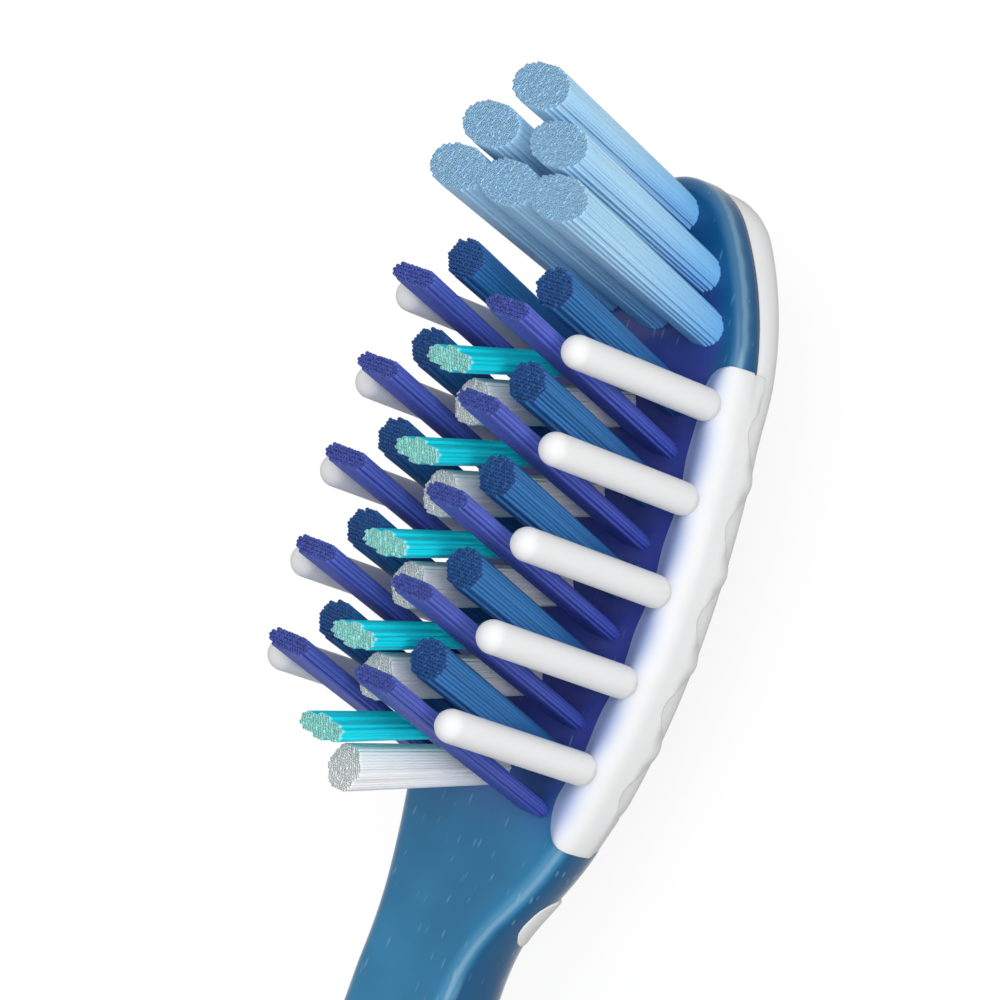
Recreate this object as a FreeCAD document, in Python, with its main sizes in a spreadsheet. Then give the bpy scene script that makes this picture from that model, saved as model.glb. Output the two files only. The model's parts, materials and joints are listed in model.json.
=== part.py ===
"""Manual toothbrush with crossed bristles, soft gum fingers and a tongue cleaner.

Frame, in millimetres: +X runs along the brush to the tip of the head, +Y is the left side and
+Z is the way the bristles stand. The origin is the middle of the flat back grip, on which the
brush lies with its bristles up. Heights on the head are measured from its bristle face.
"""
import FreeCAD, Part
import math
import os
import re
import Sketcher

os.makedirs("parts", exist_ok=True)
doc = FreeCAD.newDocument("toothbrush")

# Driving dimensions, in millimetres and degrees
DIMENSIONS = {
    # Whole brush
    "brush_length": 190,
    "rest_from_heel": 20,
    "rest_length": 84,
    "face_height": 8.6,
    "cut_margin": 6,
    "least_flat": 0.05,
    # Plan of the head and neck, as arcs that run into each other from the tip backwards
    "nose_radius": 3.6,
    "shoulder_radius": 14.6,
    "side_radius": 46.7,
    "widest_from_tip": 18.05,
    "head_width": 14,
    "rear_radius": 34,
    "neck_blend_radius": 8.5,
    "neck_width": 6.4,
    "neck_from_tip": 37,
    # Side view of the head and neck
    "head_thickness": 3.5,
    "neck_rise": 1.4,
    "rise_from_tip": 28.5,
    "rise_length": 8.3,
    "rim_round": 0.9,
    "back_round": 1.8,
    # Soft pieces on the head
    "plate_edge": 1.4,
    "soft_wall": 0.85,
    "soft_floor": 0.7,
    "pad_inset": 0.45,
    "band_from_tip": 7.0,
    "band_length": 21.5,
    "band_depth": 2.5,
    "band_lip": 0.35,
    "lip_width": 1.55,
    "lip_round": 0.28,
    "band_hem_round": 0.4,
    "notch_radius": 1.5,
    "notch_drop": 2.9,
    "notch_from_tip": 9.35,
    "ridge_count": 6,
    "ridge_first_from_tip": 8,
    "ridge_pitch": 3.2,
    "ridge_length": 6.4,
    "ridge_radius": 0.4,
    "ridge_height": 0.2,
    "tail_width": 3,
    "saddle_from_tip": 31.85,
    "saddle_radius": 1.6,
    "saddle_drop": 3.3,
    # Rubber fingers
    "row_count": 5,
    "row_pitch": 4,
    "finger_from_tip": 8.9,
    "finger_inset": 0.78,
    "finger_radius": 0.72,
    "finger_pivot": 0.82,
    "finger_length": 7.75,
    "finger_lean": 2,
    "cup_clearance": 0.04,
    # Tuft holes and anchors
    "hole_depth": 2.0,
    "hole_clearance": 0.03,
    "anchor_thickness": 0.28,
    "anchor_height": 1.3,
    "anchor_bite": 0.15,
    "fold_thickness": 0.25,
    # Columns of tufts
    "column_offset": 3.3,
    "column_radius": 90,
    "column_middle_from_tip": 18.25,
    "power_row_pitch": 2.08,
    "power_pair_offset": 2.15,
    "power_trio_offset": 3.2,
    # Light-blue tufts of the power tip
    "power_from_tip": 1.78,
    "power_height": 10.5,
    "power_lean": 16,
    "power_end_width": 3.0,
    "power_end_depth": 1.95,
    "power_root_width": 1.9,
    "power_root_depth": 1.5,
    # Purple blades of the outer columns
    "blade_from_tip": 11.2,
    "blade_height": 11,
    "blade_lean": 17,
    "blade_end_width": 2.8,
    "blade_end_depth": 1.1,
    "blade_root_width": 2.1,
    "blade_root_depth": 0.85,
    # Dark-blue ovals of the outer columns
    "oval_from_tip": 9.1,
    "oval_height": 8.7,
    "oval_lean": 17,
    "oval_end_width": 2.4,
    "oval_end_depth": 1.8,
    "oval_root_width": 1.9,
    "oval_root_depth": 1.5,
    # Teal blades of the centre column
    "teal_from_tip": 8.4,
    "teal_height": 10.35,
    "teal_lean": -12,
    "teal_end_width": 2.9,
    "teal_end_depth": 1.1,
    "teal_root_width": 2.1,
    "teal_root_depth": 0.85,
    # White round tufts of the centre column
    "white_from_tip": 10.2,
    "white_height": 8.35,
    "white_lean": -12,
    "white_end_width": 2.1,
    "white_end_depth": 2.1,
    "white_root_width": 1.7,
    "white_root_depth": 1.7,
    # Handle sections, from the neck to the heel
    "shank_from_tip": 50,
    "shank_width": 7,
    "shank_back": 4.2,
    "shank_front": 10.4,
    "shank_front_round": 1.4,
    "shank_back_round": 2.2,
    "swell_from_tip": 66,
    "swell_width": 9.8,
    "swell_back": 2.3,
    "swell_front": 11.2,
    "swell_front_round": 2.6,
    "swell_back_round": 3,
    "thumb_from_tip": 84,
    "thumb_width": 12.6,
    "thumb_back": 1.0,
    "thumb_front": 12,
    "thumb_front_round": 3.6,
    "thumb_back_round": 3.6,
    "palm_from_tip": 120,
    "palm_width": 13,
    "palm_back": 0.7,
    "palm_front": 11.8,
    "palm_front_round": 4,
    "palm_back_round": 3.8,
    "waist_from_tip": 156,
    "waist_width": 12.2,
    "waist_back": 0.7,
    "waist_front": 11,
    "waist_front_round": 4,
    "waist_back_round": 3.8,
    "heel_width": 10.4,
    "heel_back": 1.1,
    "heel_front": 10,
    "heel_front_round": 3.8,
    "heel_back_round": 3.8,
    "heel_end_round": 3.2,
    # Soft grips on the handle
    "rest_width": 8,
    "rest_thickness": 2.4,
    "rest_edge_round": 0.4,
    "thumb_grip_from_tip": 94,
    "thumb_grip_length": 40,
    "thumb_grip_width": 8,
    "thumb_grip_floor": 10.4,
    "thumb_grip_top": 12.4,
    "thumb_grip_edge_round": 0.6,
    "rib_count": 9,
    "rib_pitch": 3.6,
    "rib_length": 5.6,
    "rib_radius": 0.55,
    "rib_height": 0.35,
}

sheet = doc.addObject("Spreadsheet::Sheet", "Dimensions")
for row, (alias, number) in enumerate(DIMENSIONS.items(), start=1):
    sheet.set(f"A{row}", alias.replace("_", " "))
    sheet.set(f"B{row}", str(number))
    sheet.setAlias(f"B{row}", alias)
doc.recompute()

ALIAS = re.compile(r"\b(" + "|".join(sorted(DIMENSIONS, key=len, reverse=True)) + r")\b")

# Places that follow from the driving dimensions
TIP_X = "(brush_length - rest_from_heel - rest_length / 2)"
HEEL_X = "(-rest_from_heel - rest_length / 2)"
WIDEST_X = f"({TIP_X} - widest_from_tip)"
NECK_X = f"({TIP_X} - neck_from_tip)"
BAND_FRONT_X = f"({TIP_X} - band_from_tip)"
BAND_REAR_X = f"({BAND_FRONT_X} - band_length)"
BLOCK_FLOOR = "(soft_floor - head_thickness)"

# How nearly upright a wall is and how nearly level a face is, as the upward share of its normal
WALL_SLOPE = 0.1
LEVEL_SLOPE = 0.8
# Two heights closer than this are the same height
NEAR = 1e-4


def cells(text):
    """Turn the dimension names in a formula into references to their cells."""
    return ALIAS.sub(r"Dimensions.\1", text)


def bind(thing, path, text):
    """Tie one property of an object to a formula of dimensions."""
    thing.setExpression(path, cells(text))


def size(text):
    """Value of a formula of dimensions, in millimetres or degrees."""
    return float(sheet.evalExpression(cells(text)))


def origin_plane(body, role):
    """Origin plane of a body, found by its role."""
    return next(item for item in body.Origin.OriginFeatures if item.Role == role)


def new_sketch(body, name, role):
    """Empty sketch on one of the body's own origin planes."""
    sketch = body.newObject("Sketcher::SketchObject", name)
    sketch.AttachmentSupport = (origin_plane(body, role), [""])
    sketch.MapMode = "FlatFace"
    return sketch


def hold(sketch, name, text, kind, *places):
    """Add a named dimensional constraint and tie it to a formula."""
    index = sketch.addConstraint(Sketcher.Constraint(kind, *places, size(text)))
    sketch.renameConstraint(index, name)
    bind(sketch, f"Constraints.{name}", text)


def fix(sketch, kind, *places):
    """Add a geometric constraint."""
    sketch.addConstraint(Sketcher.Constraint(kind, *places))


def point(along, across):
    """Point in a sketch's plane."""
    return FreeCAD.Vector(along, across, 0)


def arc(centre, radius, start, end):
    """Counter-clockwise arc in a sketch's plane, angles in radians."""
    circle = Part.Circle(point(*centre), FreeCAD.Vector(0, 0, 1), radius)
    return Part.ArcOfCircle(circle, start, end)


def line(start, end):
    """Straight edge in a sketch's plane."""
    return Part.LineSegment(point(*start), point(*end))


def bearing(start, end):
    """Direction from one point to another, in radians."""
    return math.atan2(end[1] - start[1], end[0] - start[0])


def boolean(kind, label, base, tool):
    """Part::Cut, Part::Common or Part::Fuse of two objects."""
    result = doc.addObject(f"Part::{kind}", label)
    result.Base = base
    result.Tool = tool
    return result


def block(label, low, high):
    """Box between two corners, each a triple of formulas."""
    box = doc.addObject("Part::Box", label)
    for side, axis, least, most in zip(("Length", "Width", "Height"), "xyz", low, high):
        bind(box, side, f"({most}) - ({least})")
        bind(box, f"Placement.Base.{axis}", least)
    return box


def cross_rod(label, radius, length, along, height):
    """Round rod across the brush, its middle over the brush's centre line."""
    rod = doc.addObject("Part::Cylinder", label)
    rod.Placement.Rotation = FreeCAD.Rotation(FreeCAD.Vector(1, 0, 0), 90)
    bind(rod, "Radius", radius)
    bind(rod, "Height", length)
    bind(rod, "Placement.Base.x", along)
    bind(rod, "Placement.Base.y", f"({length}) / 2")
    bind(rod, "Placement.Base.z", height)
    return rod


def group(label, members):
    """Several objects held together as separate solids."""
    result = doc.addObject("Part::Compound", label)
    result.Links = members
    return result


def joined(label, members):
    """Several objects melted into one."""
    result = doc.addObject("Part::MultiFuse", label)
    result.Shapes = members
    return result


def rim_edges(shape, upward):
    """Names of the edges where the side wall of the head meets its face or its back."""
    names = []
    for index, edge in enumerate(shape.Edges, start=1):
        middle = edge.valueAt((edge.FirstParameter + edge.LastParameter) / 2)
        if middle.x < size(NECK_X) + NEAR:
            continue
        slopes = []
        for face in shape.ancestorsOfType(edge, Part.Face):
            slopes.append(face.normalAt(*face.Surface.parameter(middle)).z)
        is_wall = any(abs(slope) < WALL_SLOPE for slope in slopes)
        is_level = any(slope * upward > LEVEL_SLOPE for slope in slopes)
        if is_wall and is_level:
            names.append(f"Edge{index}")
    return names


def round_rim(body, name, radius, upward):
    """Round the upper or lower rim of a head-shaped body."""
    doc.recompute()
    base = body.Tip
    fillet = body.newObject("PartDesign::Fillet", name)
    fillet.Base = (base, rim_edges(base.Shape, upward))
    bind(fillet, "Radius", radius)
    return fillet


def head_outline(body, inset):
    """Left half of the head and neck in plan, drawn inset from its full outline."""
    sketch = new_sketch(body, f"{body.Name}_plan", "XY_Plane")
    tip = f"{TIP_X} - {inset}"
    half_width = f"head_width / 2 - {inset}"
    half_neck = f"neck_width / 2 - {inset}"
    nose = f"max(nose_radius - {inset}; nose_radius / 8)"
    shoulder = f"shoulder_radius - {inset}"
    side = f"side_radius - {inset}"
    rear = f"rear_radius - {inset}"
    blend = f"neck_blend_radius + {inset}"

    # The shoulder arc touches the nose arc and the side arc from inside
    nose_at = (size(tip) - size(nose), 0)
    side_at = (size(WIDEST_X), size(half_width) - size(side))
    reach_side = size(side) - size(shoulder)
    reach_nose = size(shoulder) - size(nose)
    apart = math.dist(side_at, nose_at)
    along = (reach_side**2 - reach_nose**2 + apart**2) / (2 * apart)
    offset = math.sqrt(reach_side**2 - along**2)
    heading = bearing(side_at, nose_at)
    shoulder_at = (
        side_at[0] + along * math.cos(heading) - offset * math.sin(heading),
        side_at[1] + along * math.sin(heading) + offset * math.cos(heading),
    )
    # The blend arc touches the rear arc and the straight neck from outside
    rear_at = (size(WIDEST_X), size(half_width) - size(rear))
    rise = size(half_neck) + size(blend) - rear_at[1]
    run = math.sqrt((size(rear) + size(blend)) ** 2 - rise**2)
    blend_at = (rear_at[0] - run, size(half_neck) + size(blend))

    nose_end = bearing(shoulder_at, nose_at)
    shoulder_end = bearing(side_at, shoulder_at)
    rear_end = bearing(rear_at, blend_at)
    neck = size(NECK_X)
    sketch.addGeometry([
        arc(nose_at, size(nose), 0, nose_end),
        arc(shoulder_at, size(shoulder), nose_end, shoulder_end),
        arc(side_at, size(side), shoulder_end, math.pi / 2),
        arc(rear_at, size(rear), math.pi / 2, rear_end),
        arc(blend_at, size(blend), 1.5 * math.pi, rear_end + math.pi),
        line((blend_at[0], size(half_neck)), (neck, size(half_neck))),
        line((neck, size(half_neck)), (neck, 0)),
        line((neck, 0), (size(tip), 0)),
    ])
    fix(sketch, "PointOnObject", 0, 3, -1)
    fix(sketch, "PointOnObject", 0, 1, -1)
    hold(sketch, "tip", tip, "DistanceX", -1, 1, 0, 1)
    hold(sketch, "nose", nose, "Radius", 0)
    fix(sketch, "Tangent", 0, 2, 1, 1)
    hold(sketch, "shoulder", shoulder, "Radius", 1)
    fix(sketch, "Tangent", 1, 2, 2, 1)
    hold(sketch, "side", side, "Radius", 2)
    hold(sketch, "widest", WIDEST_X, "DistanceX", -1, 1, 2, 2)
    hold(sketch, "half_width", half_width, "DistanceY", -1, 1, 2, 2)
    fix(sketch, "Vertical", 2, 3, 2, 2)
    fix(sketch, "Coincident", 2, 2, 3, 1)
    fix(sketch, "Vertical", 3, 3, 3, 1)
    hold(sketch, "rear", rear, "Radius", 3)
    fix(sketch, "Tangent", 3, 2, 4, 2)
    hold(sketch, "blend", blend, "Radius", 4)
    fix(sketch, "Tangent", 4, 1, 5, 1)
    fix(sketch, "Horizontal", 5)
    hold(sketch, "half_neck", half_neck, "DistanceY", -1, 1, 5, 2)
    hold(sketch, "neck", NECK_X, "DistanceX", -1, 1, 5, 2)
    fix(sketch, "Coincident", 5, 2, 6, 1)
    fix(sketch, "Vertical", 6)
    fix(sketch, "PointOnObject", 6, 2, -1)
    fix(sketch, "Coincident", 6, 2, 7, 1)
    fix(sketch, "Coincident", 7, 2, 0, 1)
    return sketch


def head_plate(label, inset, low, high):
    """Plate of the head's outline, between two heights over the bristle face."""
    body = doc.addObject("PartDesign::Body", label)
    sketch = head_outline(body, inset)
    bind(sketch, "AttachmentOffset.Base.z", f"face_height + {low}")
    half = body.newObject("PartDesign::Pad", f"{label}_half")
    half.Profile = sketch
    bind(half, "Length", f"({high}) - ({low})")
    whole = body.newObject("PartDesign::Mirrored", f"{label}_whole")
    whole.Originals = [half]
    whole.MirrorPlane = (origin_plane(body, "XZ_Plane"), [""])
    body.Tip = whole
    return body


def slope_up_to_neck(body):
    """Cut the front of the head level and let it rise to the neck in two equal arcs."""
    face, rise, run = size("face_height"), size("neck_rise"), size("rise_length")
    radius = "((rise_length * rise_length + neck_rise * neck_rise) / (4 * neck_rise))"
    turn = math.asin(run / 2 / size(radius))
    start = size(f"{TIP_X} - rise_from_tip")
    far = size(f"{TIP_X} + cut_margin")
    high = size("face_height + neck_rise + cut_margin")
    neck = size(NECK_X)
    top = face + rise
    # The sketch lies in the side view: along the brush, then up
    sketch = new_sketch(body, "neck_slope", "XZ_Plane")
    sketch.addGeometry([
        line((far, face), (start, face)),
        arc((start, face + size(radius)), size(radius), 1.5 * math.pi - turn, 1.5 * math.pi),
        arc((start - run, top - size(radius)), size(radius), math.pi / 2 - turn, math.pi / 2),
        line((start - run, top), (neck, top)),
        line((neck, top), (neck, high)),
        line((neck, high), (far, high)),
        line((far, high), (far, face)),
    ])
    fix(sketch, "Horizontal", 0)
    hold(sketch, "far", f"{TIP_X} + cut_margin", "DistanceX", -1, 1, 0, 1)
    hold(sketch, "face", "face_height", "DistanceY", -1, 1, 0, 1)
    hold(sketch, "start", f"{TIP_X} - rise_from_tip", "DistanceX", -1, 1, 0, 2)
    fix(sketch, "Tangent", 0, 2, 1, 2)
    hold(sketch, "curve", radius, "Radius", 1)
    fix(sketch, "Tangent", 1, 1, 2, 1)
    fix(sketch, "Equal", 1, 2)
    fix(sketch, "Tangent", 2, 2, 3, 1)
    fix(sketch, "Horizontal", 3)
    hold(sketch, "top", "face_height + neck_rise", "DistanceY", -1, 1, 3, 2)
    hold(sketch, "neck", NECK_X, "DistanceX", -1, 1, 3, 2)
    fix(sketch, "Coincident", 3, 2, 4, 1)
    fix(sketch, "Vertical", 4)
    fix(sketch, "Coincident", 4, 2, 5, 1)
    fix(sketch, "Horizontal", 5)
    hold(sketch, "high", "face_height + neck_rise + cut_margin", "DistanceY", -1, 1, 5, 2)
    fix(sketch, "Coincident", 5, 2, 6, 1)
    fix(sketch, "Coincident", 6, 2, 0, 1)
    fix(sketch, "Vertical", 6)
    doc.recompute()
    before = body.Shape.Volume
    cut = body.newObject("PartDesign::Pocket", "neck_slope_cut")
    cut.Profile = sketch
    cut.Type = "ThroughAll"
    cut.Midplane = True
    doc.recompute()
    if body.Shape.Volume >= before:
        raise RuntimeError("the front of the head was not cut")


def handle_section(body, name, along, half_width, back, front, front_round, back_round):
    """Cross-section of the handle: a rectangle with two corner radii."""
    sketch = new_sketch(body, f"{name}_section", "YZ_Plane")
    bind(sketch, "AttachmentOffset.Base.z", along)
    wide, low, high = size(half_width), size(back), size(front)
    upper, lower = size(front_round), size(back_round)
    quarter = math.pi / 2
    sketch.addGeometry([
        line((lower - wide, low), (wide - lower, low)),
        arc((wide - lower, low + lower), lower, 3 * quarter, 4 * quarter),
        line((wide, low + lower), (wide, high - upper)),
        arc((wide - upper, high - upper), upper, 0, quarter),
        line((wide - upper, high), (upper - wide, high)),
        arc((upper - wide, high - upper), upper, quarter, 2 * quarter),
        line((-wide, high - upper), (-wide, low + lower)),
        arc((lower - wide, low + lower), lower, 2 * quarter, 3 * quarter),
    ])
    sides = 8
    for edge in range(sides):
        fix(sketch, "Tangent", edge, 2, (edge + 1) % sides, 1)
    for edge in (0, 4):
        fix(sketch, "Horizontal", edge)
    for edge in (2, 6):
        fix(sketch, "Vertical", edge)
    for edge in (1, 7):
        hold(sketch, f"back_round_{edge}", back_round, "Radius", edge)
    for edge in (3, 5):
        hold(sketch, f"front_round_{edge}", front_round, "Radius", edge)
    hold(sketch, "back", back, "DistanceY", -1, 1, 0, 1)
    hold(sketch, "front", front, "DistanceY", -1, 1, 4, 1)
    hold(sketch, "left", half_width, "DistanceX", -1, 1, 2, 1)
    hold(sketch, "right", half_width, "DistanceX", 6, 1, -1, 1)
    return sketch


def brush_envelope():
    """Outer form of head, neck and handle in one moulding."""
    body = head_plate("brush_form", "0", "-head_thickness", "neck_rise + cut_margin / 2")
    slope_up_to_neck(body)
    round_rim(body, "rim_rounding", "rim_round", 1)
    round_rim(body, "back_rounding", "min(back_round; head_thickness - rim_round - least_flat)", -1)
    doc.recompute()
    sections = [handle_section(
        body, "neck", NECK_X, "neck_width / 2", "face_height - head_thickness",
        "face_height + neck_rise", "rim_round", "back_round")]
    for name in ("shank", "swell", "thumb", "palm", "waist"):
        sections.append(handle_section(
            body, name, f"{TIP_X} - {name}_from_tip", f"{name}_width / 2", f"{name}_back",
            f"{name}_front", f"{name}_front_round", f"{name}_back_round"))
    sections.append(handle_section(
        body, "heel", HEEL_X, "heel_width / 2", "heel_back", "heel_front",
        "heel_front_round", "heel_back_round"))
    doc.recompute()
    handle = body.newObject("PartDesign::AdditiveLoft", "handle_loft")
    handle.Profile = sections[0]
    handle.Sections = sections[1:]
    doc.recompute()
    heel_edges = []
    for index, edge in enumerate(handle.Shape.Edges, start=1):
        if edge.BoundBox.XMax < size(HEEL_X) + NEAR:
            heel_edges.append(f"Edge{index}")
    heel = body.newObject("PartDesign::Fillet", "heel_rounding")
    heel.Base = (handle, heel_edges)
    bind(heel, "Radius", "min(heel_end_round; heel_front_round - least_flat; heel_back_round - least_flat)")
    return body


def slot_plate(label, along, length, width, low, high):
    """Round-ended plate lying along the brush."""
    body = doc.addObject("PartDesign::Body", label)
    sketch = new_sketch(body, f"{label}_outline", "XY_Plane")
    middle, run, radius = size(along), size(f"({length}) - ({width})") / 2, size(width) / 2
    sketch.addGeometry([
        line((middle - run, -radius), (middle + run, -radius)),
        arc((middle + run, 0), radius, -math.pi / 2, math.pi / 2),
        line((middle + run, radius), (middle - run, radius)),
        arc((middle - run, 0), radius, math.pi / 2, 1.5 * math.pi),
    ])
    for edge in range(4):
        fix(sketch, "Tangent", edge, 2, (edge + 1) % 4, 1)
    fix(sketch, "Horizontal", 0)
    fix(sketch, "PointOnObject", 1, 3, -1)
    hold(sketch, "end_round", f"({width}) / 2", "Radius", 1)
    hold(sketch, "run", f"({length}) - ({width})", "DistanceX", 3, 3, 1, 3)
    hold(sketch, "front_end", f"({along}) + (({length}) - ({width})) / 2", "DistanceX", -1, 1, 1, 3)
    bind(sketch, "AttachmentOffset.Base.z", low)
    pad = body.newObject("PartDesign::Pad", f"{label}_plate")
    pad.Profile = sketch
    bind(pad, "Length", f"({high}) - ({low})")
    return body


def round_level_edges(body, name, radius, height):
    """Round the edges of a body that lie at one height."""
    doc.recompute()
    base = body.Tip
    names = []
    for index, edge in enumerate(base.Shape.Edges, start=1):
        box = edge.BoundBox
        if abs(box.ZMin - size(height)) < NEAR and abs(box.ZMax - size(height)) < NEAR:
            names.append(f"Edge{index}")
    fillet = body.newObject("PartDesign::Fillet", name)
    fillet.Base = (base, names)
    bind(fillet, "Radius", radius)


def outline_at(along):
    """Formula for the head's half-width at a place along the brush."""
    radius = "side_radius" if size(along) > size(WIDEST_X) else "rear_radius"
    run = f"(({along}) - {WIDEST_X})"
    return f"(sqrt({radius} * {radius} - {run} * {run}) - {radius} + head_width / 2)"


def column_at(along):
    """Formula for the distance of the outer tuft columns from the centre line."""
    run = f"(({along}) - {TIP_X} + column_middle_from_tip)"
    return f"(column_offset - column_radius + sqrt(column_radius * column_radius - {run} * {run}))"


def finger_place(row, side):
    """Formulas for the point about which one rubber finger bends."""
    along = f"({TIP_X} - finger_from_tip - {row} * row_pitch)"
    return along, f"({side} * ({outline_at(along)} - finger_inset))", "(face_height + finger_pivot)"


def finger(label, place):
    """Rubber finger: a straight rod with two round ends, turned about its own axis."""
    body = doc.addObject("PartDesign::Body", label)
    sketch = new_sketch(body, f"{label}_profile", "XZ_Plane")
    radius, length = size("finger_radius"), size("finger_length")
    sketch.addGeometry([
        arc((0, 0), radius, -math.pi / 2, 0),
        line((radius, 0), (radius, length)),
        arc((0, length), radius, 0, math.pi / 2),
        line((0, length + radius), (0, -radius)),
    ])
    fix(sketch, "Coincident", 0, 3, -1, 1)
    fix(sketch, "PointOnObject", 0, 1, -2)
    hold(sketch, "root_radius", "finger_radius", "Radius", 0)
    fix(sketch, "Tangent", 0, 2, 1, 1)
    fix(sketch, "Vertical", 1)
    fix(sketch, "Tangent", 1, 2, 2, 1)
    hold(sketch, "length", "finger_length", "DistanceY", 1, 1, 1, 2)
    fix(sketch, "PointOnObject", 2, 3, -2)
    fix(sketch, "PointOnObject", 2, 2, -2)
    fix(sketch, "Coincident", 2, 2, 3, 1)
    fix(sketch, "Coincident", 3, 2, 0, 1)
    turned = body.newObject("PartDesign::Revolution", f"{label}_turned")
    turned.Profile = sketch
    turned.ReferenceAxis = (sketch, ["V_Axis"])
    turned.Angle = 360
    body.Placement.Rotation = FreeCAD.Rotation(FreeCAD.Vector(0, 1, 0), size("finger_lean"))
    bind(body, "Placement.Rotation.Angle", "finger_lean")
    for axis, text in zip("xyz", place):
        bind(body, f"Placement.Base.{axis}", text)
    return body


def finger_cup(label, place):
    """Ball-shaped hollow in the band in which a finger's root sits."""
    ball = doc.addObject("Part::Sphere", label)
    bind(ball, "Radius", "finger_radius + cup_clearance")
    for axis, text in zip("xyz", place):
        bind(ball, f"Placement.Base.{axis}", text)
    return ball


def oval(label, kind, along, across, height, width, depth):
    """Level oval on a leaning tuft's axis, at a height over the bristle face."""
    ellipse = doc.addObject("Part::Ellipse", label)
    ellipse.Placement.Rotation = FreeCAD.Rotation(FreeCAD.Vector(0, 0, 1), 90)
    # The curve starts on its narrow side, away from the anchor that crosses its wide side
    ellipse.Angle1 = 90
    ellipse.Angle2 = 90
    bind(ellipse, "MajorRadius", f"max({width}; {depth}) / 2")
    bind(ellipse, "MinorRadius", f"min({width}; {depth}) / 2")
    bind(ellipse, "Placement.Base.x", f"{along} + ({height}) * tan({kind}_lean)")
    bind(ellipse, "Placement.Base.y", across)
    bind(ellipse, "Placement.Base.z", f"face_height + {height}")
    return ellipse


def ruled(label, sections):
    """Solid with straight sides through level ovals."""
    loft = doc.addObject("Part::Loft", label)
    loft.Sections = sections
    loft.Solid = True
    loft.Ruled = True
    return loft


def anchor(label, kind, along, across):
    """Metal plate over the fold of a tuft, which bites into the hole's wall on both sides."""
    length = f"({kind}_root_width + 2 * anchor_bite)"
    plate = doc.addObject("Part::Box", label)
    plate.Placement.Rotation = FreeCAD.Rotation(FreeCAD.Vector(0, 1, 0), size(f"{kind}_lean"))
    bind(plate, "Length", "anchor_thickness")
    bind(plate, "Width", length)
    bind(plate, "Height", "anchor_height")
    depth = "(hole_depth - fold_thickness)"
    shift = f"({depth} * tan({kind}_lean) + anchor_thickness / 2 * cos({kind}_lean))"
    lift = f"(anchor_thickness / 2 * (abs(sin({kind}_lean)) + sin({kind}_lean)))"
    bind(plate, "Placement.Rotation.Angle", f"{kind}_lean")
    bind(plate, "Placement.Base.x", f"{along} - {shift}")
    bind(plate, "Placement.Base.y", f"{across} - {length} / 2")
    bind(plate, "Placement.Base.z", f"face_height - {depth} + {lift}")
    return plate


def tuft(label, kind, along, across):
    """Tuft, its hole and its anchor, for one place on the head."""
    root = (f"{kind}_root_width", f"{kind}_root_depth")
    end = (f"{kind}_end_width", f"{kind}_end_depth")
    hole_size = [f"({text} + 2 * hole_clearance)" for text in root]
    place = (kind, along, across)
    bundle = ruled(f"{label}_bundle", [
        oval(f"{label}_foot", *place, "hole_clearance - hole_depth", *root),
        oval(f"{label}_mouth", *place, "hole_clearance", *root),
        oval(f"{label}_end", *place, f"{kind}_height", *end),
    ])
    hole = ruled(f"{label}_hole", [
        oval(f"{label}_hole_floor", *place, "-hole_depth", *hole_size),
        oval(f"{label}_hole_top", *place, "hole_depth", *hole_size),
    ])
    plate = anchor(f"{label}_anchor", kind, along, across)
    return boolean("Cut", label, bundle, plate), hole, plate


def tuft_places():
    """Name, kind, place along and place across of each tuft."""
    places = []
    number = 0
    spread = (("0",), ("-power_pair_offset", "power_pair_offset"),
              ("-power_trio_offset", "0", "power_trio_offset"))
    for row, members in enumerate(spread):
        along = f"({TIP_X} - power_from_tip - {row} * power_row_pitch)"
        for across in members:
            number += 1
            places.append((f"power_tip_tuft_{number}", "power", along, f"({across})"))
    for row in range(int(size("row_count"))):
        for kind, name in (("blade", "blade_tuft"), ("oval", "oval_tuft")):
            along = f"({TIP_X} - {kind}_from_tip - {row} * row_pitch)"
            for side, sign in (("left", 1), ("right", -1)):
                across = f"({sign} * {column_at(along)})"
                places.append((f"{side}_{name}_{row + 1}", kind, along, across))
        for kind, name in (("teal", "centre_blade_tuft"), ("white", "centre_round_tuft")):
            along = f"({TIP_X} - {kind}_from_tip - {row} * row_pitch)"
            places.append((f"{name}_{row + 1}", kind, along, "(0)"))
    return places


# Outer form, and the zones in which the hard core and the soft pieces show
form = brush_envelope()
far_side = "head_width"
tip_zone = block(
    "tip_zone", (BAND_FRONT_X, f"-{far_side}", "face_height - plate_edge"),
    (f"{TIP_X} + cut_margin", far_side, "face_height + cut_margin"))
rear_zone = block(
    "rear_zone", (f"{HEEL_X} - cut_margin", f"-{far_side}", "-cut_margin"),
    (BAND_REAR_X, far_side, "face_height + 2 * cut_margin"))
front_zone = block(
    "front_zone", (BAND_REAR_X, f"-{far_side}", "-cut_margin"),
    (f"{TIP_X} + cut_margin", far_side, "face_height + cut_margin"))
core_zone = head_plate("core_zone", "soft_wall", BLOCK_FLOOR, "cut_margin")
core_under_lip = head_plate("core_under_lip", "soft_wall", BLOCK_FLOOR, "0")
face_well = head_plate("face_well", "lip_width", "-soft_floor", "cut_margin")

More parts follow.
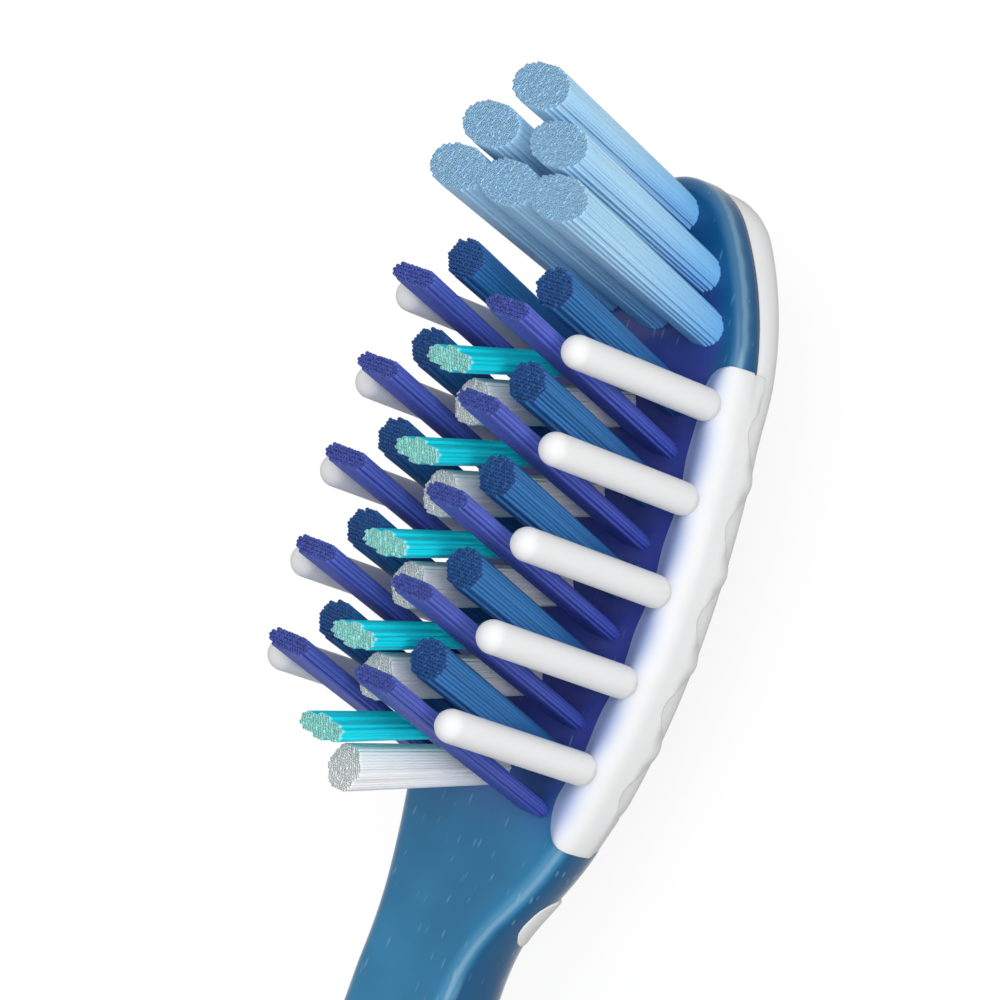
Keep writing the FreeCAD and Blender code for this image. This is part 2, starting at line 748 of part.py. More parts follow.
# Tongue cleaner: a soft tray round the lower half of the head, ridged on the back
tray_form = head_plate("tray_form", "pad_inset", "-head_thickness", "-plate_edge")
tray_round = "min(back_round; head_thickness - plate_edge - least_flat; nose_radius - pad_inset - least_flat)"
round_rim(tray_form, "tray_rounding", tray_round, -1)
tray = boolean("Cut", "tray", boolean("Common", "tray_blank", tray_form, front_zone), core_zone)
ridges = []
for index in range(int(size("ridge_count"))):
    ridges.append(cross_rod(
        f"ridge_{index + 1}", "ridge_radius", "ridge_length",
        f"{TIP_X} - ridge_first_from_tip - {index} * ridge_pitch",
        "face_height - head_thickness + ridge_radius - ridge_height"))
tail = block(
    "tail", (f"{TIP_X} - saddle_from_tip", "-tail_width / 2", "-cut_margin"),
    (BAND_REAR_X, "tail_width / 2", f"face_height + {BLOCK_FLOOR}"))
saddle = cross_rod("saddle", "saddle_radius", "2 * head_width", f"{TIP_X} - saddle_from_tip",
                   "face_height - saddle_drop")
neck_inlay = joined("neck_inlay", [tail, saddle])
tongue_cleaner = joined(
    "tongue_cleaner", [tray, *ridges, boolean("Common", "neck_pad", form, neck_inlay)])

# Gum bands with their finger cups and the notches in their lower hem
band_form = head_plate("band_form", "0", "-band_depth", "band_lip")
round_rim(band_form, "lip_rounding", "min(lip_round; band_lip - least_flat)", 1)
round_rim(band_form, "hem_rounding", "min(band_hem_round; pad_inset - least_flat)", -1)
fingers, cups, notches = [], [], []
for row in range(int(size("row_count"))):
    notches.append(cross_rod(
        f"notch_{row + 1}", "notch_radius", "2 * head_width",
        f"{TIP_X} - notch_from_tip - {row} * row_pitch", "face_height - notch_drop"))
    for side, sign in (("left", 1), ("right", -1)):
        place = finger_place(row, sign)
        fingers.append(finger(f"{side}_finger_{row + 1}", place))
        cups.append(finger_cup(f"{side}_cup_{row + 1}", place))
bands = []
for side, near, far in (("left", "0", far_side), ("right", f"-{far_side}", "0")):
    band_zone = block(
        f"{side}_band_zone", (BAND_REAR_X, near, "-cut_margin"),
        (BAND_FRONT_X, far, "face_height + cut_margin"))
    band = boolean("Common", f"{side}_band_blank", band_form, band_zone)
    for tool in (core_under_lip, face_well, tray_form):
        band = boolean("Cut", f"{side}_band_less_{tool.Name}", band, tool)
    band = boolean("Cut", f"{side}_band_notched", band, group(f"{side}_notches", notches))
    bands.append(boolean("Cut", f"{side}_gum_band", band, group(f"{side}_cups", cups)))

# Tufts with their holes and anchors
tufts, holes, anchors = [], [], {}
for label, kind, along, across in tuft_places():
    bundle, hole, plate = tuft(label, kind, along, across)
    tufts.append(bundle)
    holes.append(hole)
    anchors.setdefault(kind, []).append(plate)
anchor_names = {
    "power": "power_tip_anchors",
    "blade": "outer_blade_anchors",
    "oval": "outer_oval_anchors",
    "teal": "centre_blade_anchors",
    "white": "centre_round_anchors",
}
anchor_groups = [group(anchor_names[kind], plates) for kind, plates in anchors.items()]

# Soft grips on the handle
back_grip = slot_plate("back_grip", "0", "rest_length", "rest_width", "0", "rest_thickness")
back_pocket = slot_plate("back_pocket", "0", "rest_length", "rest_width", "-cut_margin",
                         "rest_thickness")
round_level_edges(back_grip, "back_grip_rounding", "rest_edge_round", "0")
thumb_place = (f"{TIP_X} - thumb_grip_from_tip", "thumb_grip_length", "thumb_grip_width")
thumb_plate = slot_plate("thumb_plate", *thumb_place, "thumb_grip_floor", "thumb_grip_top")
thumb_pocket = slot_plate("thumb_pocket", *thumb_place, "thumb_grip_floor",
                          "thumb_grip_top + cut_margin")
round_level_edges(thumb_plate, "thumb_grip_rounding", "thumb_grip_edge_round", "thumb_grip_top")
ribs = []
for index in range(int(size("rib_count"))):
    ribs.append(cross_rod(
        f"rib_{index + 1}", "rib_radius", "rib_length",
        f"{thumb_place[0]} + ({index} - (rib_count - 1) / 2) * rib_pitch",
        "thumb_grip_top + rib_height - rib_radius"))
thumb_grip = joined("thumb_grip", [thumb_plate, *ribs])

# Hard core: what the soft pieces leave of the outer form, drilled for the tufts
core = boolean("Common", "core_blank", form, joined("core_zones", [core_zone, tip_zone, rear_zone]))
for tool in (neck_inlay, back_pocket, thumb_pocket, group("tuft_holes", holes)):
    core = boolean("Cut", f"core_less_{tool.Name}", core, tool)
brush_core = boolean("Cut", "brush_core", core, group("anchor_slots", sum(anchors.values(), [])))

doc.recompute()
single = [brush_core, tongue_cleaner, *bands, *fingers, back_grip, thumb_grip, *tufts]
for item in doc.Objects:
    if "Invalid" in item.State or "Error" in item.State:
        raise RuntimeError(f"{item.Label} failed: {item.State}")
for item in single + anchor_groups:
    if item.Shape.isNull() or not item.Shape.isValid():
        raise RuntimeError(f"{item.Label} has no valid shape")
for item in single:
    if len(item.Shape.Solids) != 1:
        raise RuntimeError(f"{item.Label} has {len(item.Shape.Solids)} solids")

for item in single:
    item.Shape.Solids[0].exportStep(f"parts/{item.Label}.step")
for item in anchor_groups:
    item.Shape.exportStep(f"parts/{item.Label}.step")
for item in fingers:
    spot = item.Placement.Base
    print(f"pivot {item.Label} {spot.x:.6f} {spot.y:.6f} {spot.z:.6f}")
print(f"{len(single) + len(anchor_groups)} nodes written")
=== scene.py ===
# %% [markdown]
# # A manual toothbrush, dressed around its solid model
# The solid model holds the sizes, the joints and the places of all the pieces. This lesson gives
# each of them its look: clear blue plastic with flecks, soft white rubber, and thousands of
# nylon filaments. Every new piece is a surface worked out with numpy in millimetres and then put
# into a mesh in metres, where the solid model has it, so nothing has to be moved afterwards.

# %% Load the solid model
import json
import math

import bmesh
import bpy
import numpy as np
from mathutils import Matrix, Vector


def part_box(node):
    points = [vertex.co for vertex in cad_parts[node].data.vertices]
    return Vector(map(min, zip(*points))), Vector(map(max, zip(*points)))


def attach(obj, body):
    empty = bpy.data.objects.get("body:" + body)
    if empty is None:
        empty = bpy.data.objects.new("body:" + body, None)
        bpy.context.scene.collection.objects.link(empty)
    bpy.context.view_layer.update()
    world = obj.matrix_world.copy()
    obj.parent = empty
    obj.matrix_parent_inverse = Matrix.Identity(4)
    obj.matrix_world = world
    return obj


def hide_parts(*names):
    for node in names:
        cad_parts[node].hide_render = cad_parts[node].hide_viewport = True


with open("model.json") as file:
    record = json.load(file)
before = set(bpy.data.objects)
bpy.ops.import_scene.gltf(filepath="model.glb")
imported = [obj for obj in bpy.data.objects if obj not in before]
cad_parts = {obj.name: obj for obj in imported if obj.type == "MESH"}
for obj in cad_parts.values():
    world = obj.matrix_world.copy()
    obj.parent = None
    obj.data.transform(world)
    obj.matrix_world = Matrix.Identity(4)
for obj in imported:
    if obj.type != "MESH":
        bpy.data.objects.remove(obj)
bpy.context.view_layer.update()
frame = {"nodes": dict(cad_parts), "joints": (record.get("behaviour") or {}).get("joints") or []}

MM = 0.001

# %% [markdown]
# ## Tools for meshes
# A surface that is a function of two parameters is a grid of points, so its faces are the quads
# between neighbours. Where a grid closes on itself, or shrinks to a point at a pole, some points
# fall on each other. Merging them afterwards closes the seam, which is simpler than a special
# case in every shape.

# %% Mesh tools
WELD_DISTANCE = 2e-4 * MM


def grid_faces(rows, columns, wrap=False):
    """Quads between each point and its next row and column; wrap joins the last column to the first."""
    index = np.arange(rows * columns).reshape(rows, columns)
    if wrap:
        index = np.concatenate((index, index[:, :1]), axis=1)
    corners = (index[:-1, :-1], index[1:, :-1], index[1:, 1:], index[:-1, 1:])
    return np.stack(corners, axis=-1).reshape(-1, 4)


def joined(parts):
    """Several (points, faces) pairs as one: the faces of each are counted on from the points before it."""
    points, faces, start = [], [], 0
    for some_points, some_faces in parts:
        points.append(some_points.reshape(-1, 3))
        faces.append(some_faces + start)
        start += len(points[-1])
    return np.concatenate(points), np.concatenate(faces)


def mesh_of(name, points, face_groups):
    """Mesh of points in millimetres and of groups of faces, each group with one number of corners."""
    corners = np.concatenate([group.ravel() for group in face_groups])
    sizes = np.concatenate([np.full(len(group), group.shape[1]) for group in face_groups])
    mesh = bpy.data.meshes.new(name)
    mesh.vertices.add(len(points))
    mesh.vertices.foreach_set("co", (points * MM).astype(np.float32).ravel())
    mesh.loops.add(len(corners))
    mesh.loops.foreach_set("vertex_index", corners.astype(np.int32))
    mesh.polygons.add(len(sizes))
    mesh.polygons.foreach_set("loop_start", (np.cumsum(sizes) - sizes).astype(np.int32))
    mesh.update(calc_edges=True)
    return mesh


def placed(name, data):
    """New object with this mesh, lamp or camera, put into the scene."""
    thing = bpy.data.objects.new(name, data)
    bpy.context.scene.collection.objects.link(thing)
    return thing


def smooth_piece(name, parts):
    """Closed, smooth object from (points, faces) pairs: doubles are merged and faces turned outwards."""
    points, faces = joined(parts)
    mesh = mesh_of(name, points, [faces])
    work = bmesh.new()
    work.from_mesh(mesh)
    bmesh.ops.remove_doubles(work, verts=work.verts, dist=WELD_DISTANCE)
    bmesh.ops.recalc_face_normals(work, faces=work.faces)
    work.to_mesh(mesh)
    work.free()
    mesh.shade_smooth()
    return placed(name, mesh)


def places_of(piece):
    """Places of a piece's points, in millimetres."""
    places = np.empty(3 * len(piece.data.vertices), np.float32)
    piece.data.vertices.foreach_get("co", places)
    return places.reshape(-1, 3) / MM


def mark(piece, name, values):
    """Store one number for each point of a piece, for use in its material."""
    attribute = piece.data.attributes.new(name, "FLOAT", "POINT")
    attribute.data.foreach_set("value", values.astype(np.float32))


def dress(piece, material, slot, body, *nodes):
    """Give a piece its material, hang it on the body that carries it, and hide the solids it stands for."""
    piece.data.materials.append(material)
    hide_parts(*nodes)
    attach(piece, body)


print("mesh tools ready")

# %% [markdown]
# ## The camera
# The product picture is taken with a long lens from above the right side of the head, and the
# camera is rolled so that the brush runs from the lower left to the upper right. Its place, the
# way it looks and the way its right side points are plain numbers here, because they belong to
# the picture and not to the brush.

# %% Camera
CAMERA_PLACE = Vector((118.462, -163.04, 167.796)) * MM
CAMERA_FORWARD = Vector((-0.0265, 0.7262, -0.687))
CAMERA_RIGHT = Vector((0.3295, -0.6425, -0.6919))
CAMERA_LENS = 193.84
CAMERA_SENSOR = 36

camera = placed("camera", bpy.data.cameras.new("camera"))
camera.data.lens = CAMERA_LENS
camera.data.sensor_width = CAMERA_SENSOR
camera.data.sensor_fit = "HORIZONTAL"
camera.data.clip_start = 0.01
camera.data.clip_end = 20
backward = -CAMERA_FORWARD.normalized()
upward = backward.cross(CAMERA_RIGHT).normalized()
sideways = upward.cross(backward)
turned = Matrix((sideways, upward, backward)).transposed().to_4x4()
camera.matrix_world = Matrix.Translation(CAMERA_PLACE) @ turned
bpy.context.scene.camera = camera
print("camera at", [round(value / MM, 1) for value in camera.location])

# %% [markdown]
# ## The outline that everything follows
# Seen from above, a brush is one smooth line: a small nose, a rounder shoulder, a nearly straight
# side, a rear curve, a blend into the neck, and then the slow swell of the handle. Arcs that run
# into each other give the head, as on the drawing of the real tool, and a cubic curve through a
# few widths gives the handle. The head, its soft pad and the rubber bands are all made from this
# one line, so they fit each other without any trimming.

# %% Outline of the brush
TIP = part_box("brush_core")[1].x / MM
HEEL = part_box("brush_core")[0].x / MM
FACE = 8.6
HEAD_HALF_WIDTH = 7.0
WIDEST = TIP - 18.05
NOSE_RADIUS, SHOULDER_RADIUS, SIDE_RADIUS, REAR_RADIUS, BLEND_RADIUS = 3.6, 14.6, 46.7, 34.0, 8.5
NECK_HALF_WIDTH = 3.2
NECK = TIP - 37

# Sections of the handle, from the heel to the neck: place, half-width, back, front and two roundings
SECTION_X = np.array([HEEL, TIP - 156, TIP - 120, TIP - 84, TIP - 66, TIP - 50, NECK, NECK + 4])
SECTION_HALF_WIDTH = np.array([5.2, 6.1, 6.5, 6.3, 4.9, 3.5, NECK_HALF_WIDTH, NECK_HALF_WIDTH])
SECTION_BACK = np.array([1.1, 0.7, 0.7, 1.0, 2.3, 4.2, 5.4, 5.6])
SECTION_FRONT = np.array([10.0, 11.0, 11.8, 12.0, 11.2, 10.4, 10.0, 10.0])
SECTION_FRONT_ROUND = np.array([3.8, 4.0, 4.0, 3.6, 2.6, 1.4, 0.9, 0.9])
SECTION_BACK_ROUND = np.array([3.8, 3.8, 3.8, 3.6, 3.0, 2.7, 2.6, 2.6])
HEEL_END = 6.5
HEEL_POWER = 2 / 2.7


def smooth_curve(at, values):
    """Cubic through the sections: Hermite cubics between each two, with slopes of parabolas through three."""
    knots = SECTION_X
    slopes = np.gradient(values, knots)
    span = np.clip(np.searchsorted(knots, at) - 1, 0, len(knots) - 2)
    width = knots[span + 1] - knots[span]
    t = np.clip((at - knots[span]) / width, 0, 1)
    rise = values[span + 1] - values[span]
    bend = (1 - t) * slopes[span] * width - t * slopes[span + 1] * width + (2 * t - 1) * rise
    return values[span] + t * rise + t * (1 - t) * bend


def arc(centre, radius, start, end, count=160):
    """Points of an arc: the centre plus the radius in each direction from start to end."""
    turn = np.linspace(start, end, count)
    return np.stack((centre[0] + radius * np.cos(turn), centre[1] + radius * np.sin(turn)), axis=-1)


def meet(first, first_reach, second, second_reach):
    """Upper point at given distances from two points."""
    apart = math.dist(first, second)
    along = (first_reach**2 - second_reach**2 + apart**2) / (2 * apart)
    off = math.sqrt(first_reach**2 - along**2)
    ahead = ((second[0] - first[0]) / apart, (second[1] - first[1]) / apart)
    return first[0] + along * ahead[0] - off * ahead[1], first[1] + along * ahead[1] + off * ahead[0]


def bearing(start, end):
    """Direction from one point to another."""
    return math.atan2(end[1] - start[1], end[0] - start[0])


def left_outline():
    """Left half of the outline, heel to nose: heel curve, handle, neck and five arcs of the head."""
    nose = (TIP - NOSE_RADIUS, 0)
    side = (WIDEST, HEAD_HALF_WIDTH - SIDE_RADIUS)
    shoulder = meet(side, SIDE_RADIUS - SHOULDER_RADIUS, nose, SHOULDER_RADIUS - NOSE_RADIUS)
    rear = (WIDEST, HEAD_HALF_WIDTH - REAR_RADIUS)
    rise = NECK_HALF_WIDTH + BLEND_RADIUS - rear[1]
    behind = math.sqrt((REAR_RADIUS + BLEND_RADIUS) ** 2 - rise**2)
    blend = (WIDEST - behind, NECK_HALF_WIDTH + BLEND_RADIUS)
    nose_turn = bearing(shoulder, nose)
    shoulder_turn = bearing(side, shoulder)
    rear_turn = bearing(rear, blend)
    turn = np.linspace(0, math.pi / 2, 200)
    heel_x = HEEL + HEEL_END * (1 - np.cos(turn) ** HEEL_POWER)
    heel_y = smooth_curve(heel_x, SECTION_HALF_WIDTH) * np.sin(turn) ** HEEL_POWER
    handle_x = np.linspace(HEEL + HEEL_END, blend[0], 900)
    return np.concatenate((
        np.stack((heel_x, heel_y), -1),
        np.stack((handle_x, smooth_curve(handle_x, SECTION_HALF_WIDTH)), -1)[1:],
        arc(blend, BLEND_RADIUS, 1.5 * math.pi, rear_turn + math.pi)[1:],
        arc(rear, REAR_RADIUS, rear_turn, math.pi / 2)[1:],
        arc(side, SIDE_RADIUS, math.pi / 2, shoulder_turn)[1:],
        arc(shoulder, SHOULDER_RADIUS, shoulder_turn, nose_turn)[1:],
        arc(nose, NOSE_RADIUS, nose_turn, 0)[1:],
    ))


def resampled(line, count, weight):
    """A line's points again, evenly spaced by length times weight."""
    steps = np.linalg.norm(np.diff(line, axis=0), axis=1) * (weight[1:] + weight[:-1]) / 2
    length = np.concatenate(([0], np.cumsum(steps)))
    at = np.linspace(0, length[-1], count)
    return np.stack((np.interp(at, length, line[:, 0]), np.interp(at, length, line[:, 1])), axis=-1)


def outward(line):
    """Unit normals on the left of the line's direction, straight along the brush at both ends."""
    along = np.gradient(line, axis=0)
    normal = np.stack((-along[:, 1], along[:, 0]), axis=-1)
    normal[0], normal[-1] = (-1, 0), (1, 0)
    return normal / np.linalg.norm(normal, axis=1, keepdims=True)


HEAD_WEIGHT = 5
BRUSH_POINTS = 560
PAST_HEEL = 400
full_line = left_outline()
head_weight = 1 + (HEAD_WEIGHT - 1) * np.clip((full_line[:, 0] - NECK) / 4 + 1, 0, 1)
brush_line = resampled(full_line, BRUSH_POINTS, head_weight)
brush_normal = outward(brush_line)


def half_width_at(x):
    """Half-width of the brush at a place along it, read between the outline's points past the heel."""
    return np.interp(x, full_line[PAST_HEEL:, 0], full_line[PAST_HEEL:, 1])


print("outline:", len(brush_line), "points, widest", round(brush_line[:, 1].max(), 2), "mm from the middle")

# %% [markdown]
# ## Solids from an outline
# A moulded plate with rounded rims is the same profile carried along its outline: each row of the
# profile says how far inside the outline it lies and how high. The face and the back then run
# from their rims straight to the centre line. One function makes the core, the pad and both
# grips, and the right half is the mirror of the left one.

# %% Plate from a half outline
def plate(line, normal, rows, face_steps=10):
    """Closed plate: rows are (inset, height) pairs from the upper rim to the lower, one value a station.

    Point (i, j) = outline point i, moved inwards along its normal by inset j, at height j. The face
    and the back run from the first and the last row to the centre line at the same place along.
    """
    insets = np.stack([np.broadcast_to(inset, len(line)) for inset, _ in rows], axis=1)
    heights = np.stack([np.broadcast_to(height, len(line)) for _, height in rows], axis=1)
    flat = line[:, None, :] - insets[..., None] * normal[:, None, :]
    flat[..., 1] = np.maximum(flat[..., 1], 0)
    wall = np.concatenate((flat, heights[..., None]), axis=-1)
    across = np.linspace(0, 1, face_steps, endpoint=False)[None, :, None]
    share = across * np.array((0, 1, 0)) + np.array((1, 0, 1))
    face = wall[:, :1] * share
    back = (wall[:, -1:] * share)[:, ::-1]
    half = np.concatenate((face, wall, back), axis=1)
    other = half[:, ::-1] * np.array((1, -1, 1))
    points = np.concatenate((half, other[:, 1:-1]), axis=1)
    return points.reshape(-1, 3), grid_faces(points.shape[0], points.shape[1], wrap=True)


def rounded(radius, height, upward, inset=0.0, steps=9):
    """Quarter-round rim: rows at inset + r(1 - sin a), r(1 - cos a) below the face, or the other way up."""
    rows = []
    for a in np.linspace(0, math.pi / 2, steps):
        rows.append((inset + radius * (1 - math.sin(a)), height - upward * radius * (1 - math.cos(a))))
    return rows if upward > 0 else rows[::-1]


def ramp(value, start, end):
    """Smooth step from 0 at start to 1 at end: t t (3 - 2 t)."""
    t = np.clip((value - start) / (end - start), 0, 1)
    return t * t * (3 - 2 * t)


print("plate tools ready")

# %% [markdown]
# ## The clear blue core
# Head plate, neck and handle are one moulding of tinted plastic. On the real tool the soft rubber
# is shot over it in a second step, so the core steps inwards wherever rubber lies over it: at the
# sides of the head under the bands, and under the plate where the back pad wraps round it. The
# front rises in an S-curve from the bristle face to the neck.

# %% Shape of the core
HEAD_THICKNESS = 3.5
NECK_RISE, RISE_START, RISE_LENGTH = 1.4, TIP - 27.4, 9.4
TIP_LIFT, LIFT_LENGTH = 0.8, 10.0
PLATE_EDGE = 1.3
TIP_ROUND, TIP_RIM_DROP = 0.55, 0.4
BAND_FRONT, BAND_REAR = TIP - 7.0, TIP - 28.5
BAND_SEAT, PAD_SEAT, BLOCK_DEPTH, BLOCK_ROUND = 0.55, 0.85, 2.8, 0.2
SEAT_RAMP = 0.5
WALL_SHARES = (0.35, 0.7, 0.97)
CORE_FACE_STEPS = 16
RIM_START, RIM_POINTS, FAR_FROM_RIM = NECK - 16, 400, 9.0


def past_bands(x):
    """0 beside the bands and 1 at the tip in front of them."""
    return ramp(x, BAND_FRONT - 1, BAND_FRONT + 1)


def tip_lift(x):
    """Upward bend of the plate at the tip: a parabola over the last stretch of the head."""
    return TIP_LIFT * np.clip((x - TIP + LIFT_LENGTH) / LIFT_LENGTH, 0, 1) ** 2


def front_height(x):
    """Height of the front: the handle's curve, two parabolas down to the bristle face, and the tip's bend."""
    step = np.clip((RISE_START - x) / RISE_LENGTH, 0, 1)
    rise = np.where(step < 0.5, 2 * step**2, 1 - 2 * (1 - step) ** 2)
    head = FACE + NECK_RISE * rise + tip_lift(x)
    return np.where(x < NECK, smooth_curve(x, SECTION_FRONT), head)


def back_height(x):
    """Height of the back: the handle's curve, and on the head the level back of the pad."""
    on_head = ramp(x, NECK + 4, BAND_REAR)
    return smooth_curve(x, SECTION_BACK) * (1 - on_head) + (FACE - HEAD_THICKNESS) * on_head


def core_rows(x):
    """Rows of the core's profile at each station: rim, wall, seat of the pad, and rounded back."""
    front = front_height(x)
    back = back_height(x)
    at_tip = past_bands(x)
    front_round = smooth_curve(x, SECTION_FRONT_ROUND) * (1 - at_tip) + TIP_ROUND * at_tip
    back_round = smooth_curve(x, SECTION_BACK_ROUND)
    on_head = ramp(x, BAND_REAR + 0.05, BAND_REAR + SEAT_RAMP)
    under_band = on_head * ramp(-x, -BAND_FRONT, SEAT_RAMP - BAND_FRONT) * BAND_SEAT
    seat = np.maximum(on_head * PAD_SEAT, under_band)
    floor = back + on_head * (FACE - BLOCK_DEPTH - back)
    floor_round = back_round * (1 - on_head) + BLOCK_ROUND * on_head
    middle = (front - front_round + back + back_round) / 2
    ledge = (1 - on_head) * middle + on_head * (front - PLATE_EDGE)
    rows = rounded(front_round, front, 1, under_band)
    for share in WALL_SHARES:
        rows.append((under_band, front - front_round + share * (ledge - front + front_round)))
    rows += [(under_band + 0.08 * on_head, ledge), (seat, ledge - 0.02)]
    return rows + rounded(floor_round, floor, -1, seat)


def mark_rim(piece):
    """Attribute that places the painted rim highlights and wall shade: depth below the front minus distance
    inside the outline, in millimetres.

    It is negative on the face, 0 on the edge of the rim and positive down the wall, and at the tip
    it starts a little lower. On the handle it has one value, which stands for far from any rim.
    """
    x, y, z = places_of(piece).T
    near = x > RIM_START
    edge = full_line[full_line[:, 0] > RIM_START - 3]
    edge = resampled(edge, RIM_POINTS, np.ones(len(edge)))
    apart = np.hypot(x[near, None] - edge[:, 0], np.abs(y[near, None]) - edge[:, 1])
    value = np.full(len(x), FAR_FROM_RIM)
    value[near] = front_height(x[near]) - z[near] - apart.min(axis=1)
    value -= TIP_RIM_DROP * past_bands(x)
    mark(piece, "rim_place", value)


core_profile = core_rows(brush_line[:, 0])
core = smooth_piece("clear_core", [plate(brush_line, brush_normal, core_profile, CORE_FACE_STEPS)])
mark_rim(core)
print("core:", len(core.data.polygons), "faces")

# %% [markdown]
# ## The soft pad on the back of the head
# The pad wraps the lower half of the head and carries cross ridges for cleaning the tongue. It is
# the same outline drawn a little smaller. The ridges are round bars sunk into its back, and a
# narrow tail joins it to a saddle on the neck, whose two ends show as half-moons on the sides.

# %% Shape of the pad
PAD_INSET, PAD_TIP_INSET, PAD_END_INSET = 0.30, 0.12, 0.85
PAD_ROUND, PAD_TIP_ROUND, PAD_REAR_ROUND = 1.8, 1.75, 0.1
PAD_REAR, PAD_EDGE = BAND_REAR + 0.02, 0.05
PAD_REAR_POINTS, PAD_SIDE_POINTS = 12, 300
RIDGE_COUNT, RIDGE_FIRST, RIDGE_PITCH = 6, TIP - 8.0, 3.2
RIDGE_HALF_LENGTH, RIDGE_RADIUS, RIDGE_HEIGHT = 2.8, 0.4, 0.2
SADDLE_X, SADDLE_RADIUS, SADDLE_Z = TIP - 31.85, 1.25, FACE - 1.95
TAIL_REACH, TAIL_OVERLAP = 0.27, 0.6
NECK_WALL = 1.0
PROUD, EDGE_STEEPNESS, EDGE_SUNK, PATCH_DEPTH = 0.06, 6, 0.05, 0.3


def rod(start, end, radius, around=20, cap=7):
    """Round-ended rod: rings from pole to pole, each a circle round the axis, closed by half-spheres."""
    start, end = np.array(start, float), np.array(end, float)
    axis = (end - start) / np.linalg.norm(end - start)
    side = np.cross(axis, (0.0, 0.6, 0.8) if abs(axis[0]) > 0.5 else (1.0, 0.0, 0.0))
    side /= np.linalg.norm(side)
    other = np.cross(axis, side)
    lift = np.linspace(0, math.pi / 2, cap)
    reach = np.concatenate((np.sin(lift), np.ones(4), np.sin(lift)[::-1]))
    middles = np.concatenate((
        start - np.cos(lift)[:, None] * axis * radius,
        start + np.linspace(0.2, 0.8, 4)[:, None] * (end - start),
        end + np.cos(lift)[::-1, None] * axis * radius,
    ))
    turn = np.linspace(0, 2 * math.pi, around, endpoint=False)
    ring = np.cos(turn)[:, None] * side + np.sin(turn)[:, None] * other
    points = middles[:, None, :] + radius * reach[:, None, None] * ring[None]
    return points.reshape(-1, 3), grid_faces(len(middles), around, wrap=True)


def pad_plate():
    """Plate of the pad: from its square rear end round the nose, wider where no band covers it."""
    back = FACE - HEAD_THICKNESS
    head = full_line[full_line[:, 0] >= PAD_REAR]
    start = np.array((PAD_REAR, half_width_at(PAD_REAR)))
    rear_y = np.linspace(0, start[1] - PAD_END_INSET - PAD_ROUND, PAD_REAR_POINTS)
    rear = np.stack((np.full_like(rear_y, PAD_REAR), rear_y), axis=-1)
    rear_normal = np.tile((-1.0, 0.0), (PAD_REAR_POINTS, 1))
    side = resampled(np.concatenate((start[None], head)), PAD_SIDE_POINTS, np.ones(len(head) + 1))
    side_normal = outward(side)
    side_normal[0] = side_normal[1]
    line = np.concatenate((rear, side))
    normal = np.concatenate((rear_normal, side_normal))
    at_tip = ramp(line[:, 0], BAND_FRONT - 3.0, BAND_FRONT - 0.1)
    at_end = 1 - ramp(line[:, 0], PAD_REAR, PAD_REAR + 2.5)
    inset = PAD_INSET + (PAD_TIP_INSET - PAD_INSET) * at_tip + (PAD_END_INSET - PAD_INSET) * at_end
    inset[:PAD_REAR_POINTS] = 0
    radius = PAD_ROUND + (PAD_TIP_ROUND - PAD_ROUND) * at_tip
    radius[:PAD_REAR_POINTS] = PAD_REAR_ROUND
    top = FACE - PLATE_EDGE + tip_lift(line[:, 0])
    rows = [(inset + PAD_EDGE, top), (inset, top - PAD_EDGE)]
    return plate(line, normal, rows + rounded(radius, back, -1, inset))


def ridge(number):
    """One cross ridge of the tongue cleaner, a rod half sunk into the back of the pad."""
    x = RIDGE_FIRST - number * RIDGE_PITCH
    z = FACE - HEAD_THICKNESS + RIDGE_RADIUS - RIDGE_HEIGHT
    return rod((x, -RIDGE_HALF_LENGTH, z), (x, RIDGE_HALF_LENGTH, z), RIDGE_RADIUS)


def neck_section(x, across):
    """Point on the neck's lower half: across is -1 on the right wall, 0 under the back, 1 on the left."""
    half_width = half_width_at(x)
    back = back_height(x)
    radius = smooth_curve(x, SECTION_BACK_ROUND)
    flat = half_width - radius
    length = np.abs(across) * (flat + radius * math.pi / 2 + NECK_WALL)
    turn = np.clip((length - flat) / radius, 0, math.pi / 2)
    y = np.minimum(length, flat) + radius * np.sin(turn)
    z = back + radius * (1 - np.cos(turn)) + np.clip(length - flat - radius * math.pi / 2, 0, None)
    return y, z, np.sin(turn), -np.cos(turn)


def neck_patch(ends_at, limit, rows=61, columns=25):
    """Rubber on the neck: a grid across and along it, lifted off the plastic by a rounded edge.

    ends_at gives the patch's two ends along the brush for a height on the neck.
    """
    across = np.linspace(-limit, limit, rows)[:, None]
    along = np.linspace(-1, 1, columns)[None, :]
    first, last = ends_at(neck_section(np.full_like(across, SADDLE_X), across)[1])
    x = first + (last - first) * (along + 1) / 2
    y, z, out_y, out_z = neck_section(x, np.broadcast_to(across, x.shape))
    edge = np.minimum(1 - np.abs(along), (1 - np.abs(across) / limit)) * np.ones_like(x)
    lift = PROUD * np.sqrt(np.clip(edge * EDGE_STEEPNESS, 0, 1)) - EDGE_SUNK * (edge <= 0)
    points = np.stack((x, np.sign(across) * (y + out_y * lift), z + out_z * lift), axis=-1)
    under_y = np.sign(across) * (y - out_y * PATCH_DEPTH)
    under = np.stack((x, under_y, z - out_z * PATCH_DEPTH), axis=-1)
    under[0], under[-1], under[:, 0], under[:, -1] = points[0], points[-1], points[:, 0], points[:, -1]
    faces = grid_faces(rows, columns)
    return [(points.reshape(-1, 3), faces), (under.reshape(-1, 3), faces[:, ::-1])]


def saddle_ends(z):
    """Saddle: a round disc seen from the side, so its half length is that of a chord at this height."""
    chord = np.sqrt(np.clip(SADDLE_RADIUS**2 - (z - SADDLE_Z) ** 2, 0, None))
    return SADDLE_X - chord, SADDLE_X + chord


